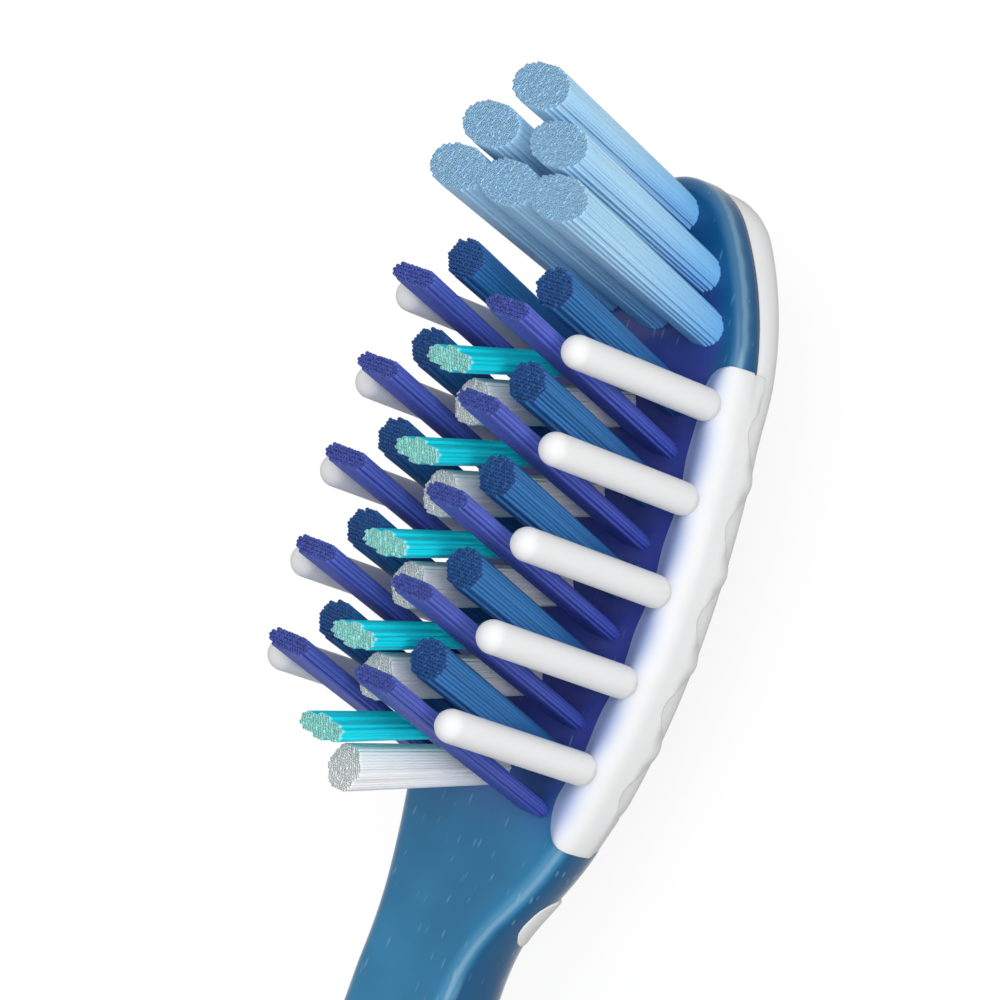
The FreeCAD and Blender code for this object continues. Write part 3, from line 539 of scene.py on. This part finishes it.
def saddle_limit():
    """How far the saddle reaches across the neck: to where the section is as high as the disc's top."""
    across = np.linspace(0, 1, 400)
    height = neck_section(np.full(400, SADDLE_X), across)[1]
    return np.interp(SADDLE_Z + SADDLE_RADIUS, height, across)


def tail_ends(z):
    """Tail: the same length all across, from the middle of the saddle to just inside the pad."""
    return np.full_like(z, SADDLE_X), np.full_like(z, PAD_REAR + TAIL_OVERLAP)


pad_parts = [pad_plate(), *[ridge(number) for number in range(RIDGE_COUNT)]]
pad_parts += neck_patch(saddle_ends, saddle_limit())
pad_parts += neck_patch(tail_ends, TAIL_REACH)
pad = smooth_piece("tongue_pad", pad_parts)
print("pad:", len(pad.data.polygons), "faces,", RIDGE_COUNT, "ridges")

# %% [markdown]
# ## The rubber bands along the head
# Each band is a lip of soft white rubber that wraps the edge of the head. Its section is carried
# along the outline: a slope up from the bristle face, a ridge, a round shoulder, the outer wall,
# and a hem. Oval bites in the hem let the pad show, and the lip gets narrower and lower at both
# ends, where it runs out into the plastic. The shape changes along the way, so a profile carried
# along a path with numpy is easier here than a swept curve with one fixed section.

# %% Shape of the bands
LIP_WIDTH, LIP_END_WIDTH, LIP_END_RUN = 2.0, 0.75, 1.9
LIP_HEIGHT, LIP_END_HEIGHT = 0.36, 0.06
LIP_SCALLOP, RIDGE_PLACE = 0.10, 0.42
BAND_STATIONS = 520
SHOULDER_DROP, WALL_DROP, UNDER_RADIUS, UNDER_TURN = 0.75, 1.6, 1.6, math.radians(80)
FRONT_INSET, REAR_INSET = 0.1, 0.12
ROW_PITCH, ROW_COUNT = 4.0, 5
NOTCH_FIRST, NOTCH_HALF_LENGTH, NOTCH_HEM = TIP - 9.4, 1.45, 0.63
NOTCH_DIP, LAST_DIP = 0.25, 0.2
FINGER_FIRST = TIP - 8.9
COLLAR_HEIGHT = 0.10


def under_head(length):
    """Band below its shoulder, by length: straight down the wall, then round under the head on a circle."""
    wall = WALL_DROP - SHOULDER_DROP
    turn = np.clip(length - wall, 0, None) / UNDER_RADIUS
    inset = UNDER_RADIUS * (1 - np.cos(turn))
    return inset, -SHOULDER_DROP - np.minimum(length, wall) - UNDER_RADIUS * np.sin(turn)


def notch_aside(x):
    """Distance along the brush from the middle of the nearest notch."""
    number = np.clip(np.round((NOTCH_FIRST - x) / ROW_PITCH), 0, ROW_COUNT - 1)
    return np.abs(x - NOTCH_FIRST + number * ROW_PITCH)


def hem_length(x):
    """Length of the band below its shoulder: to where it sinks into the pad, less half an oval in a notch."""
    full = WALL_DROP - SHOULDER_DROP + UNDER_RADIUS * UNDER_TURN
    oval = np.sqrt(np.clip(1 - (notch_aside(x) / NOTCH_HALF_LENGTH) ** 2, 0, None))
    return full + (NOTCH_HEM - full) * oval


def notch_dip(x):
    """Hollow of the band round its notches: full at a notch, none midway, and some behind the last notch."""
    dip = NOTCH_DIP * (1 - ramp(notch_aside(x), 1.0, 2.0))
    behind_last = x < NOTCH_FIRST - (ROW_COUNT - 1) * ROW_PITCH
    return np.where(behind_last, np.maximum(dip, LAST_DIP), dip)


def band(side):
    """Band of one side: at each station along the outline, a closed profile of (inset, height) rows."""
    x = np.linspace(BAND_REAR, BAND_FRONT, BAND_STATIONS)
    y = half_width_at(x)
    normal = outward(np.stack((x, y), axis=-1))
    normal[0], normal[-1] = normal[1], normal[-2]
    from_end = np.clip(np.minimum(x - BAND_REAR, BAND_FRONT - x) / LIP_END_RUN, 0, 1)
    full = np.sqrt(1 - (1 - from_end) ** 2)
    phase = 2 * math.pi * (x - FINGER_FIRST) / ROW_PITCH
    lip = LIP_END_WIDTH + (LIP_WIDTH - LIP_END_WIDTH - LIP_SCALLOP * np.cos(phase)) * full
    collar = COLLAR_HEIGHT * (0.5 + 0.5 * np.cos(phase)) ** 2
    height = LIP_END_HEIGHT + (LIP_HEIGHT - LIP_END_HEIGHT + collar) * full
    ridge_at = RIDGE_PLACE * lip
    to_hem = hem_length(x)
    rows = []
    for t in np.linspace(0, 1, 12):
        rows.append((lip + t * (ridge_at - lip), height * (0.5 - 0.5 * np.cos(math.pi * t)) - 0.03 * (1 - t)))
    for a in np.linspace(0, math.pi / 2, 10)[1:]:
        rows.append((ridge_at * (1 - math.sin(a)), height - (height + SHOULDER_DROP) * (1 - math.cos(a))))
    rows += [under_head(t * to_hem) for t in np.linspace(0, 1, 20)[1:]]
    # The hidden inner side, from the hem back to the bristle face
    hem_inset, hem_height = rows[-1]
    rows += [(hem_inset + 0.6, hem_height + 0.05), (0 * x + 1.4, 0 * x - 0.9), (0.9 * lip, 0 * x - 0.12)]
    inset = np.stack([row[0] for row in rows], axis=1)
    lift = np.stack([row[1] for row in rows], axis=1)
    inset += FRONT_INSET * (1 - ramp(BAND_FRONT - x, 0, 2.5))[:, None] * ramp(-lift, 1.0, 1.5)
    inset += REAR_INSET * (1 - ramp(x - BAND_REAR, 0, 2.5))[:, None] * ramp(-lift, 1.0, 2.2)
    inset += notch_dip(x)[:, None] * ramp(-lift, 1.5, 2.5)
    lift += tip_lift(x)[:, None] * ramp(-lift, WALL_DROP, 0)
    flat = np.stack((x, y), axis=-1)[:, None, :] - inset[..., None] * normal[:, None, :]
    points = np.concatenate((flat, FACE + lift[..., None]), axis=-1)
    ends = points[[0, -1]].mean(axis=1, keepdims=True) * np.ones((1, points.shape[1], 1))
    points = np.concatenate((ends[:1], points, ends[1:])) * np.array((1, side, 1))
    return points.reshape(-1, 3), grid_faces(points.shape[0], points.shape[1], wrap=True)


def mark_painted_slope_shade(piece):
    """Attribute for the painted lavender shade: 0 on the ridge, 1 at the inner edge, stronger between the
    fingers.
    """
    x, y, z = places_of(piece).T
    inside = half_width_at(x) - np.abs(y)
    between = 0.5 - 0.5 * np.cos(2 * math.pi * (x - FINGER_FIRST) / ROW_PITCH)
    on_top = ramp(z, FACE - 1.0, FACE - 0.3)
    mark(piece, "painted_slope_shade", ramp(inside, 0.0, 1.0) * on_top * (0.75 + 0.25 * between))


bands = {
    "left": smooth_piece("left_soft_band", [band(1)]),
    "right": smooth_piece("right_soft_band", [band(-1)]),
}
for piece in bands.values():
    mark_painted_slope_shade(piece)
print("bands:", [len(piece.data.polygons) for piece in bands.values()], "faces")

# %% [markdown]
# ## The rubber fingers
# Ten round-ended fingers rub the gums. Each is a rod with a ball at its root, and the ball sits in
# the band, so the finger can bend outwards about the ball's middle without opening a gap. Its
# place and size are read from the joint and from the box of its solid.

# %% Shape of the fingers
def finger(joint):
    """Finger on one joint: a rod from the joint's centre to the middle of the round end."""
    node = joint["name"].removesuffix("_bend")
    low, high = (np.array(corner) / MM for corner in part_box(node))
    radius = (high[1] - low[1]) / 2
    root = np.array(joint["pos_m"]) / MM
    end = np.array((high[0] - radius, root[1], high[2] - radius))
    return node, smooth_piece(f"soft_{node}", [rod(root, end, radius, around=40, cap=14)])


fingers = {joint["child"]: finger(joint) for joint in frame["joints"]}
print("fingers:", len(fingers))

# %% [markdown]
# ## Tufts of filaments
# A tuft is a bundle of nylon filaments folded into a hole, so it leaves the head tight and flares
# towards its trimmed end. A single solid would lose the dotted ends and the fine lines on the
# sides, and hair particles can't be exported, so each filament is a six-sided tube with a rounded
# end. Their places are a hexagonal packing inside the oval of the tuft. Three values go along as
# attributes for the material: how far along the filament a point is, whether it is on the rounded
# end, and a shade that differs from filament to filament.

# %% Shape of the tufts
TUFT_KINDS = {
    # kind: slot, root (across, along), end (across, along), filament, pitch, leans forward
    "power_tip_tuft": ("light_blue_filament", (2.2, 1.65), (3.65, 2.05), 0.165, 0.125, True),
    "blade_tuft": ("purple_filament", (2.1, 0.85), (2.9, 1.1), 0.19, 0.18, True),
    "oval_tuft": ("dark_blue_filament", (1.9, 1.5), (2.5, 1.85), 0.19, 0.18, True),
    "centre_blade_tuft": ("teal_filament", (2.1, 0.85), (2.9, 1.1), 0.19, 0.17, False),
    "centre_round_tuft": ("white_filament", (1.7, 1.7), (2.1, 2.1), 0.18, 0.125, False),
}
SIDES = 6
RING_PLACES = np.array([0.0, 0.3, 0.65, 0.985, 1.0])
ALONG_MARKS = [*RING_PLACES, 1.0]
END_MARKS = [0.0, 0.0, 0.0, 0.0, 0.7, 0.9]
SUNK = 0.4
PLACE_SPREAD, THICKNESS_SPREAD = 0.04, 0.03
END_DROP, END_SPREAD = -0.06, 0.02
DOME_HEIGHT, DOME_RING, DOME_TOP = 0.45, 0.7, 0.22
random = np.random.default_rng(20)


def kind_of(node):
    """Kind of a tuft: its name without its number and its side."""
    return node.rsplit("_", 1)[0].removeprefix("left_").removeprefix("right_")


def packed_oval(across, along, filament, pitch):
    """Hexagonal packing inside an oval: rows half a pitch apart, kept where a whole filament fits."""
    count = int(max(across, along) / pitch) + 2
    row, place = np.meshgrid(np.arange(-count, count + 1), np.arange(-count, count + 1), indexing="ij")
    x = row * pitch * math.sqrt(3) / 2
    y = (place + 0.5 * (row % 2)) * pitch
    inside = (x / (along - filament)) ** 2 + (y / (across - filament)) ** 2 <= 0.25
    return np.stack((x[inside], y[inside]), axis=-1)


def tuft_axis(node, root_size, end_size, forward):
    """Middle of a tuft's foot and of its end, from the corners of its solid's box."""
    low, high = (np.array(corner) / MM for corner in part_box(node))
    middle = (low[1] + high[1]) / 2
    foot_x = low[0] + root_size[1] / 2 if forward else high[0] - root_size[1] / 2
    end_x = high[0] - end_size[1] / 2 if forward else low[0] + end_size[1] / 2
    return np.array((foot_x, middle, low[2])), np.array((end_x, middle, high[2]))


def filaments(node, root_size, end_size, filament, pitch, forward):
    """Points, faces and attributes of a tuft: lines from root to end with a six-sided ring at each place."""
    foot, end = tuft_axis(node, root_size, end_size, forward)
    start = foot + (end - foot) * (FACE - SUNK - foot[2]) / (end[2] - foot[2])
    spots = packed_oval(*end_size, filament, pitch)
    count = len(spots)
    spots = spots + random.normal(0, PLACE_SPREAD * filament, spots.shape)
    shrink = np.array((root_size[1] / end_size[1], root_size[0] / end_size[0]))
    roots = start + np.concatenate((spots * shrink, np.zeros((count, 1))), axis=1)
    drop = random.normal(END_DROP, END_SPREAD, (count, 1))
    ends = end + np.concatenate((spots, drop), axis=1)
    lines = roots[:, None] + (ends - roots)[:, None] * RING_PLACES[None, :, None]
    axis = (end - start) / np.linalg.norm(end - start)
    side = np.cross(axis, (0.0, 1.0, 0.0))
    side /= np.linalg.norm(side)
    other = np.cross(axis, side)
    radius = filament / 2 * (1 + random.normal(0, THICKNESS_SPREAD, count))
    dome = ends + axis * radius[:, None] * DOME_HEIGHT
    turn = np.linspace(0, 2 * math.pi, SIDES, endpoint=False)
    ring = np.cos(turn)[:, None] * side + np.sin(turn)[:, None] * other
    tubes = lines[:, :, None] + radius[:, None, None, None] * ring[None, None]
    caps = dome[:, None] + DOME_RING * radius[:, None, None] * ring[None]
    points = np.concatenate((tubes, caps[:, None]), axis=1)
    tops = dome + axis * radius[:, None] * DOME_TOP
    rings = points.shape[1]
    per_tube = rings * SIDES
    first = np.arange(count) * per_tube
    quads = (grid_faces(rings, SIDES, wrap=True)[None] + first[:, None, None]).reshape(-1, 4)
    last_ring = first[:, None] + per_tube - SIDES + np.arange(SIDES)
    top_index = count * per_tube + np.arange(count)
    top_corner = np.repeat(top_index[:, None], SIDES, axis=1)
    tops_faces = np.stack((last_ring, np.roll(last_ring, -1, axis=1), top_corner), axis=-1)
    values = {}
    for name, marks in (("along", ALONG_MARKS), ("on_end", END_MARKS)):
        values[name] = np.concatenate((np.tile(np.repeat(marks, SIDES), count), np.ones(count)))
    shade = random.uniform(-1, 1, count)
    values["shade"] = np.concatenate((np.repeat(shade, per_tube), shade))
    all_points = np.concatenate((points.reshape(-1, 3), tops))
    return all_points, [quads, tops_faces.reshape(-1, 3)], values


def tuft(node):
    """Mesh object of one tuft, with its attributes."""
    points, faces, values = filaments(node, *TUFT_KINDS[kind_of(node)][1:])
    mesh = mesh_of(f"{node}_bristles", points, faces)
    mesh.shade_smooth()
    piece = placed(f"{node}_bristles", mesh)
    for name, numbers in values.items():
        mark(piece, name, numbers)
    return piece


tufts = {}
for node in sorted(frame["nodes"]):
    if kind_of(node) in TUFT_KINDS:
        tufts[node] = tuft(node)
print("tufts:", len(tufts), "with", sum(len(piece.data.polygons) for piece in tufts.values()), "faces")

# %% [markdown]
# ## The soft grips on the handle
# Two rubber inlays make the handle safe to hold when wet: a long flat one on the back, on which the
# brush lies, and a ribbed one for the thumb. Both are round-ended plates with softly rounded rims,
# and the thumb grip carries cross ribs like the tongue cleaner's ridges.

# %% Shape of the grips
RIB_COUNT, RIB_PITCH, RIB_HALF_LENGTH, RIB_RADIUS, RIB_HEIGHT = 9, 3.6, 2.25, 0.55, 0.35


def slot_line(node):
    """Left half of a round-ended outline that fills the box of a solid, from its rear to its front end."""
    low, high = (np.array(corner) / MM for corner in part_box(node))
    radius = (high[1] - low[1]) / 2
    back = arc((low[0] + radius, 0), radius, math.pi, math.pi / 2, 60)
    front = arc((high[0] - radius, 0), radius, math.pi / 2, 0, 60)
    line = np.concatenate((back, front))
    return resampled(line, 240, np.ones(len(line))), low[2], high[2]


def back_rest():
    """Flat back grip: square upper edge inside the handle, rounded lower rim."""
    line, low, high = slot_line("back_grip")
    return plate(line, outward(line), [(0.0, high)] + rounded(0.4, low, -1))


def thumb_rest():
    """Thumb grip: rounded upper rim, and ribs across its top."""
    line, low, high = slot_line("thumb_grip")
    top = high - RIB_HEIGHT
    middle = line[:, 0].mean()
    parts = [plate(line, outward(line), rounded(0.6, top, 1) + [(0.0, low)])]
    for number in range(RIB_COUNT):
        x = middle + (number - (RIB_COUNT - 1) / 2) * RIB_PITCH
        z = high - RIB_RADIUS
        parts.append(rod((x, -RIB_HALF_LENGTH, z), (x, RIB_HALF_LENGTH, z), RIB_RADIUS))
    return parts


grips = {
    "back_grip": smooth_piece("back_rest_grip", [back_rest()]),
    "thumb_grip": smooth_piece("thumb_rest_grip", thumb_rest()),
}
print("grips:", [len(piece.data.polygons) for piece in grips.values()], "faces")

# %% [markdown]
# ## Materials from nodes
# A helper adds one node and links what it is given: a socket is linked, and anything else is set
# as the socket's own value. That keeps a material readable as a short list of steps.

# %% Node helper
class Recipe:
    """A new material or world and its node tree, with short calls for the nodes."""

    def __init__(self, name, kind="materials", shader="Principled BSDF"):
        self.owner = getattr(bpy.data, kind).new(name)
        self.owner.use_nodes = True
        self.tree = self.owner.node_tree
        self.shader = self.tree.nodes[shader]

    def add(self, kind, inputs=(), **settings):
        """Add a node, set its properties, then set or link its inputs by name or number."""
        node = self.tree.nodes.new(kind)
        for name, value in settings.items():
            setattr(node, name, value)
        for key, value in dict(inputs).items():
            self.put(node.inputs[key], value)
        return node

    def put(self, socket, value):
        """Link an output to a socket, or set the socket to a value."""
        if isinstance(value, bpy.types.NodeSocket):
            self.tree.links.new(value, socket)
        else:
            socket.default_value = value

    def finish(self, **inputs):
        """Set or link inputs of the main shader; underscores stand for the spaces in their names."""
        for name, value in inputs.items():
            self.put(self.shader.inputs[name.replace("_", " ")], value)
        return self.owner

    def attribute(self, name):
        """Value of a point attribute of the mesh."""
        return self.add("ShaderNodeAttribute", attribute_name=name).outputs["Fac"]

    def math(self, operation, *values):
        """One calculation with two or three values."""
        return self.add("ShaderNodeMath", enumerate(values), operation=operation).outputs[0]

    def mix(self, share, first, second):
        """Mix of two colours."""
        node = self.add("ShaderNodeMix", {0: share, 6: first, 7: second}, data_type="RGBA")
        return node.outputs[2]

    def span(self, value, low, high, to_low=0.0, to_high=1.0):
        """Value moved smoothly from one range to another, and held at its ends."""
        numbers = {0: value, 1: low, 2: high, 3: to_low, 4: to_high}
        return self.add("ShaderNodeMapRange", numbers, interpolation_type="SMOOTHSTEP").outputs[0]

    def place(self):
        """Place on the object, in metres."""
        return self.add("ShaderNodeTexCoord").outputs["Object"]


def colour(red, green, blue):
    """Colour from screen values of 0 to 255: c = v/255, then ((c + 0.055) / 1.055) to the power 2.4."""
    linear = [((v / 255 + 0.055) / 1.055) ** 2.4 if v > 10 else v / 255 / 12.92 for v in (red, green, blue)]
    return (*linear, 1.0)


print("node helper ready")

# %% [markdown]
# ## Clear blue plastic
# The core is tinted plastic with a high polish and with tiny pale flecks drawn out along the
# flow. Light and shade are painted into its colour by position: a pale painted highlight along
# the rounded rim with a thin brighter line in it, painted shade on the wall below, and a painted
# indigo shade between the tufts, where little light gets and what comes back has passed through
# violet bristles. The flecks are cells of a stretched Voronoi pattern, of which only the nearest
# middles of a few cells are painted.

# %% Core material
# Places along the brush, in metres, between which a part of the colour comes or goes
HEAD_SPAN, TIP_SPAN = (0.078, 0.09), (0.118, 0.1225)
# The field spans bound the painted indigo shade between the tufts.
FIELD_REAR_SPAN, FIELD_FRONT_SPAN = (0.0985, 0.1035), (0.1195, 0.1265)


def core_material():
    """Polished blue: cloudy tint, flecks along the brush, painted rim highlights, painted wall shade and a
    painted indigo shade between the tufts.
    """
    recipe = Recipe("clear_blue_plastic")
    place = recipe.place()
    along = recipe.add("ShaderNodeSeparateXYZ", {0: place}).outputs[0]
    rim = recipe.attribute("rim_place")
    near_head = recipe.span(along, *HEAD_SPAN)
    cloud = recipe.add("ShaderNodeTexNoise", {"Vector": place, "Scale": 160.0, "Detail": 3.0}).outputs["Fac"]
    blue = recipe.mix(recipe.span(cloud, 0.35, 0.7), colour(34, 116, 160), colour(48, 134, 180))
    blue = recipe.mix(recipe.span(along, *TIP_SPAN), blue, colour(22, 94, 144))
    # Painted shade: the wall below the rim is darkened.
    wall = recipe.math("MULTIPLY", near_head, recipe.span(rim, 0.15, 0.6, 0.0, 0.9))
    wall_shaded = recipe.mix(wall, blue, colour(4, 78, 124))
    # Painted shade: the face between the tufts is darkened to indigo, where little light gets.
    tufted = recipe.math("MULTIPLY", recipe.span(along, *FIELD_REAR_SPAN),
                         recipe.span(along, *FIELD_FRONT_SPAN, 1.0, 0.0))
    field_shade = recipe.math("MULTIPLY", tufted, recipe.span(rim, -1.9, -0.9, 1.0, 0.0))
    shade_painted = recipe.mix(field_shade, wall_shaded, colour(64, 77, 162))
    # Painted highlight: a pale band on the rounded rim.
    inner = recipe.math("MULTIPLY", near_head, recipe.span(rim, -0.9, -0.3, 0.0, 0.24))
    rim_highlighted = recipe.mix(recipe.math("MULTIPLY", inner, recipe.span(rim, 0.05, 0.4, 1.0, 0.0)), shade_painted,
                        colour(118, 168, 196))
    # Painted highlight: a thin, paler line inside that band.
    line_highlight_share = recipe.math("MULTIPLY", near_head, recipe.span(rim, -0.3, -0.1, 0.0, 0.25))
    line_highlighted = recipe.mix(recipe.math("MULTIPLY", line_highlight_share, recipe.span(rim, 0.0, 0.2, 1.0, 0.0)), rim_highlighted,
                       colour(176, 208, 226))
    stretch = {"Vector": place, "Scale": (750.0, 3600.0, 3600.0)}
    stretched = recipe.add("ShaderNodeMapping", stretch).outputs[0]
    cells = recipe.add("ShaderNodeTexVoronoi", {"Vector": stretched, "Scale": 1.0})
    near = recipe.span(cells.outputs["Distance"], 0.08, 0.28, 1.0, 0.0)
    chosen = recipe.add("ShaderNodeSeparateColor", {0: cells.outputs["Color"]}).outputs[0]
    fleck = recipe.math("MULTIPLY", near, recipe.span(chosen, 0.45, 0.9, 0.0, 0.34))
    flecked = recipe.mix(fleck, line_highlighted, colour(150, 190, 220))
    return recipe.finish(
        Base_Color=flecked, Roughness=0.22, Specular_IOR_Level=0.2, Coat_Weight=0.12, Coat_Roughness=0.05)


dress(core, core_material(), "core_plastic", "brush", "brush_core")
print("core dressed")

# %% [markdown]
# ## Soft white rubber
# The soft shot is a satin white elastomer. It scatters light, so its shades are pale and a little
# blue. On the inner slope of the bands a lavender shade is painted in, strongest between the
# fingers. A fine grain keeps the highlights soft.

# %% Rubber materials
def rubber(name, shade_painted):
    """Satin white with fine grain; the second argument adds a painted lavender shade near the bristle face.
    """
    recipe = Recipe(name)
    place = recipe.place()
    cloud = recipe.add("ShaderNodeTexNoise", {"Vector": place, "Scale": 420.0, "Detail": 2.0}).outputs["Fac"]
    white = recipe.mix(cloud, colour(246, 247, 248), colour(250, 250, 251))
    grain = recipe.add("ShaderNodeTexNoise", {"Vector": place, "Scale": 9000.0, "Detail": 2.0}).outputs["Fac"]
    bump = recipe.add("ShaderNodeBump", {"Strength": 0.06, "Distance": 2e-5, "Height": grain}).outputs[0]
    if shade_painted:
        # Painted shade: lavender on the inner slope of the bands, strongest between the fingers.
        white = recipe.mix(recipe.attribute("painted_slope_shade"), white, colour(174, 192, 234))
    return recipe.finish(
        Base_Color=white, Roughness=0.6, Specular_IOR_Level=0.12, Normal=bump, Subsurface_Weight=0.25,
        Subsurface_Scale=0.0006, Subsurface_Radius=(1.0, 1.0, 1.15))


white_rubber = rubber("white_rubber", False)
dress(pad, white_rubber, "soft_white", "brush", "tongue_cleaner")
band_rubber_with_painted_shade = rubber("white_rubber_with_painted_shade", True)
for side, piece in bands.items():
    dress(piece, band_rubber_with_painted_shade, "soft_white", "brush", f"{side}_gum_band")
for body, (node, piece) in fingers.items():
    dress(piece, white_rubber, "soft_white", body, node)
for node, piece in grips.items():
    dress(piece, white_rubber, "soft_white", "brush", node)
print("rubber dressed")

# %% [markdown]
# ## Nylon filaments
# Each colour of filament gets the same recipe: darker at the root, where the tuft shades itself,
# its own colour along the side, and a paler or darker rounded end. The shade attribute makes
# every filament a little different, which is what gives a tuft its fine lines.

# %% Filament materials
FILAMENTS = {
    # slot: root, side, end, how much the filaments differ
    "light_blue_filament": ((128, 198, 252), (184, 228, 255), (174, 222, 255), 0.05),
    "purple_filament": ((66, 84, 178), (88, 104, 198), (84, 102, 192), 0.12),
    "dark_blue_filament": ((34, 92, 154), (56, 122, 182), (58, 106, 176), 0.12),
    "teal_filament": ((15, 196, 222), (22, 236, 248), (192, 250, 240), 0.09),
    "white_filament": ((248, 251, 254), (254, 255, 255), (254, 255, 255), 0.02),
}


def filament_material(slot, root, side, end, difference):
    """Colour from root to side along the filament, then that of the rounded end, then its own shade."""
    recipe = Recipe(slot)
    # Painted shade: the darker root colour stands for the tuft's shade on itself.
    along = recipe.span(recipe.attribute("along"), 0.0, 0.75)
    shaft = recipe.mix(along, colour(*root), colour(*side))
    tipped = recipe.mix(recipe.attribute("on_end"), shaft, colour(*end))
    value = recipe.math("MULTIPLY_ADD", recipe.attribute("shade"), difference, 1.0)
    shaded = recipe.add("ShaderNodeHueSaturation", {"Color": tipped, "Value": value}).outputs[0]
    return recipe.finish(Base_Color=shaded, Roughness=0.45, Specular_IOR_Level=0.35)


filament_materials = {slot: filament_material(slot, *colours) for slot, colours in FILAMENTS.items()}
for node, piece in tufts.items():
    slot = TUFT_KINDS[kind_of(node)][0]
    dress(piece, filament_materials[slot], slot, "brush", node)
print("tufts dressed")

# %% [markdown]
# ## Anchor strips
# Under each tuft a small piece of drawn brass strip holds the fold down. It is sealed in the head,
# so the plain solid stays and only gets a brushed metal.

# %% Anchor material
def anchor_material():
    """Drawn brass: fine streaks along the strip in colour and roughness."""
    recipe = Recipe("anchor_brass")
    stretch = {"Vector": recipe.place(), "Scale": (9000.0, 900.0, 9000.0)}
    streaks = recipe.add("ShaderNodeMapping", stretch).outputs[0]
    noise = recipe.add("ShaderNodeTexNoise", {"Vector": streaks, "Scale": 1.0}).outputs["Fac"]
    tone = recipe.mix(noise, colour(196, 168, 104), colour(226, 202, 142))
    return recipe.finish(Base_Color=tone, Metallic=1.0, Roughness=recipe.span(noise, 0.3, 0.7, 0.25, 0.4))


brass = anchor_material()
anchor_nodes = [name for name in frame["nodes"] if name.endswith("_anchors")]
for name in anchor_nodes:
    mesh = frame["nodes"][name].data
    mesh.materials.clear()
    mesh.materials.append(brass)
print("anchors:", len(anchor_nodes))

# %% [markdown]
# ## Floor, background and light
# The product picture has a pure white ground. The floor is pale and takes the brush's soft shadow,
# and it adds its own white only for what the camera sees directly or by reflection, so the
# brush gets no extra light from it. One large lamp above the head, one low on the side of the
# camera, a weak one over the handle and an even world give the soft studio light.

# %% Stage
FLOOR_SIZE = 4.0
FLOOR_DROP = 2e-5
FLOOR_WHITE, FLOOR_GLOW = 0.22, 0.85
WORLD_LIGHT = 0.48


def seen_ray(recipe):
    """1 for rays that see the background straight, by reflection or through something clear."""
    light_path = recipe.add("ShaderNodeLightPath").outputs
    indirect = recipe.math("MAXIMUM", light_path["Is Glossy Ray"], light_path["Is Transmission Ray"])
    return recipe.math("MAXIMUM", light_path["Is Camera Ray"], indirect)


def floor_material():
    """Pale matt floor plus a white glow that only the camera, reflections and clear things see."""
    recipe = Recipe("pale_floor")
    recipe.tree.nodes.remove(recipe.shader)
    matt = recipe.add("ShaderNodeBsdfDiffuse", {"Color": (FLOOR_WHITE, FLOOR_WHITE, FLOOR_WHITE, 1)})
    strength = recipe.math("MULTIPLY", seen_ray(recipe), FLOOR_GLOW)
    glow = recipe.add("ShaderNodeEmission", {"Strength": strength})
    both = recipe.add("ShaderNodeAddShader", {0: matt.outputs[0], 1: glow.outputs[0]})
    recipe.put(recipe.tree.nodes["Material Output"].inputs["Surface"], both.outputs[0])
    return recipe.owner


corners = np.array(((-1, -1), (1, -1), (1, 1), (-1, 1))) * FLOOR_SIZE / 2 / MM
floor_points = np.concatenate((corners, np.full((4, 1), -FLOOR_DROP / MM)), axis=1)
floor = placed("floor", mesh_of("floor", floor_points, [np.array([[0, 1, 2, 3]])]))
floor.data.materials.append(floor_material())

sky = Recipe("studio", "worlds", "Background")
sky_level = sky.span(seen_ray(sky), 0.0, 1.0, WORLD_LIGHT)
bpy.context.scene.world = sky.finish(Color=(1, 1, 1, 1), Strength=sky_level)


def lamp(name, place, aim, size, power):
    """Square area lamp at a place, turned to a point, both in millimetres."""
    light = bpy.data.lights.new(name, "AREA")
    light.shape = "SQUARE"
    light.size = size * MM
    light.energy = power
    item = placed(name, light)
    item.location = Vector(place) * MM
    item.rotation_euler = (Vector(aim) - Vector(place)).to_track_quat("-Z", "Y").to_euler()


HEAD_MIDDLE = (110.0, 0.0, 10.0)
lamp("key_lamp", (200.0, -300.0, 350.0), HEAD_MIDDLE, 260.0, 0.62)
lamp("low_lamp", (150.0, -330.0, 60.0), HEAD_MIDDLE, 200.0, 0.5)
lamp("handle_lamp", (-60.0, -120.0, 420.0), (0.0, 0.0, 6.0), 260.0, 0.2)
bpy.context.scene.view_settings.view_transform = "Standard"
print("stage ready")

# %% [markdown]
# ## Finish
# The view layer is brought up to date.

# %% Finish
bpy.context.view_layer.update()
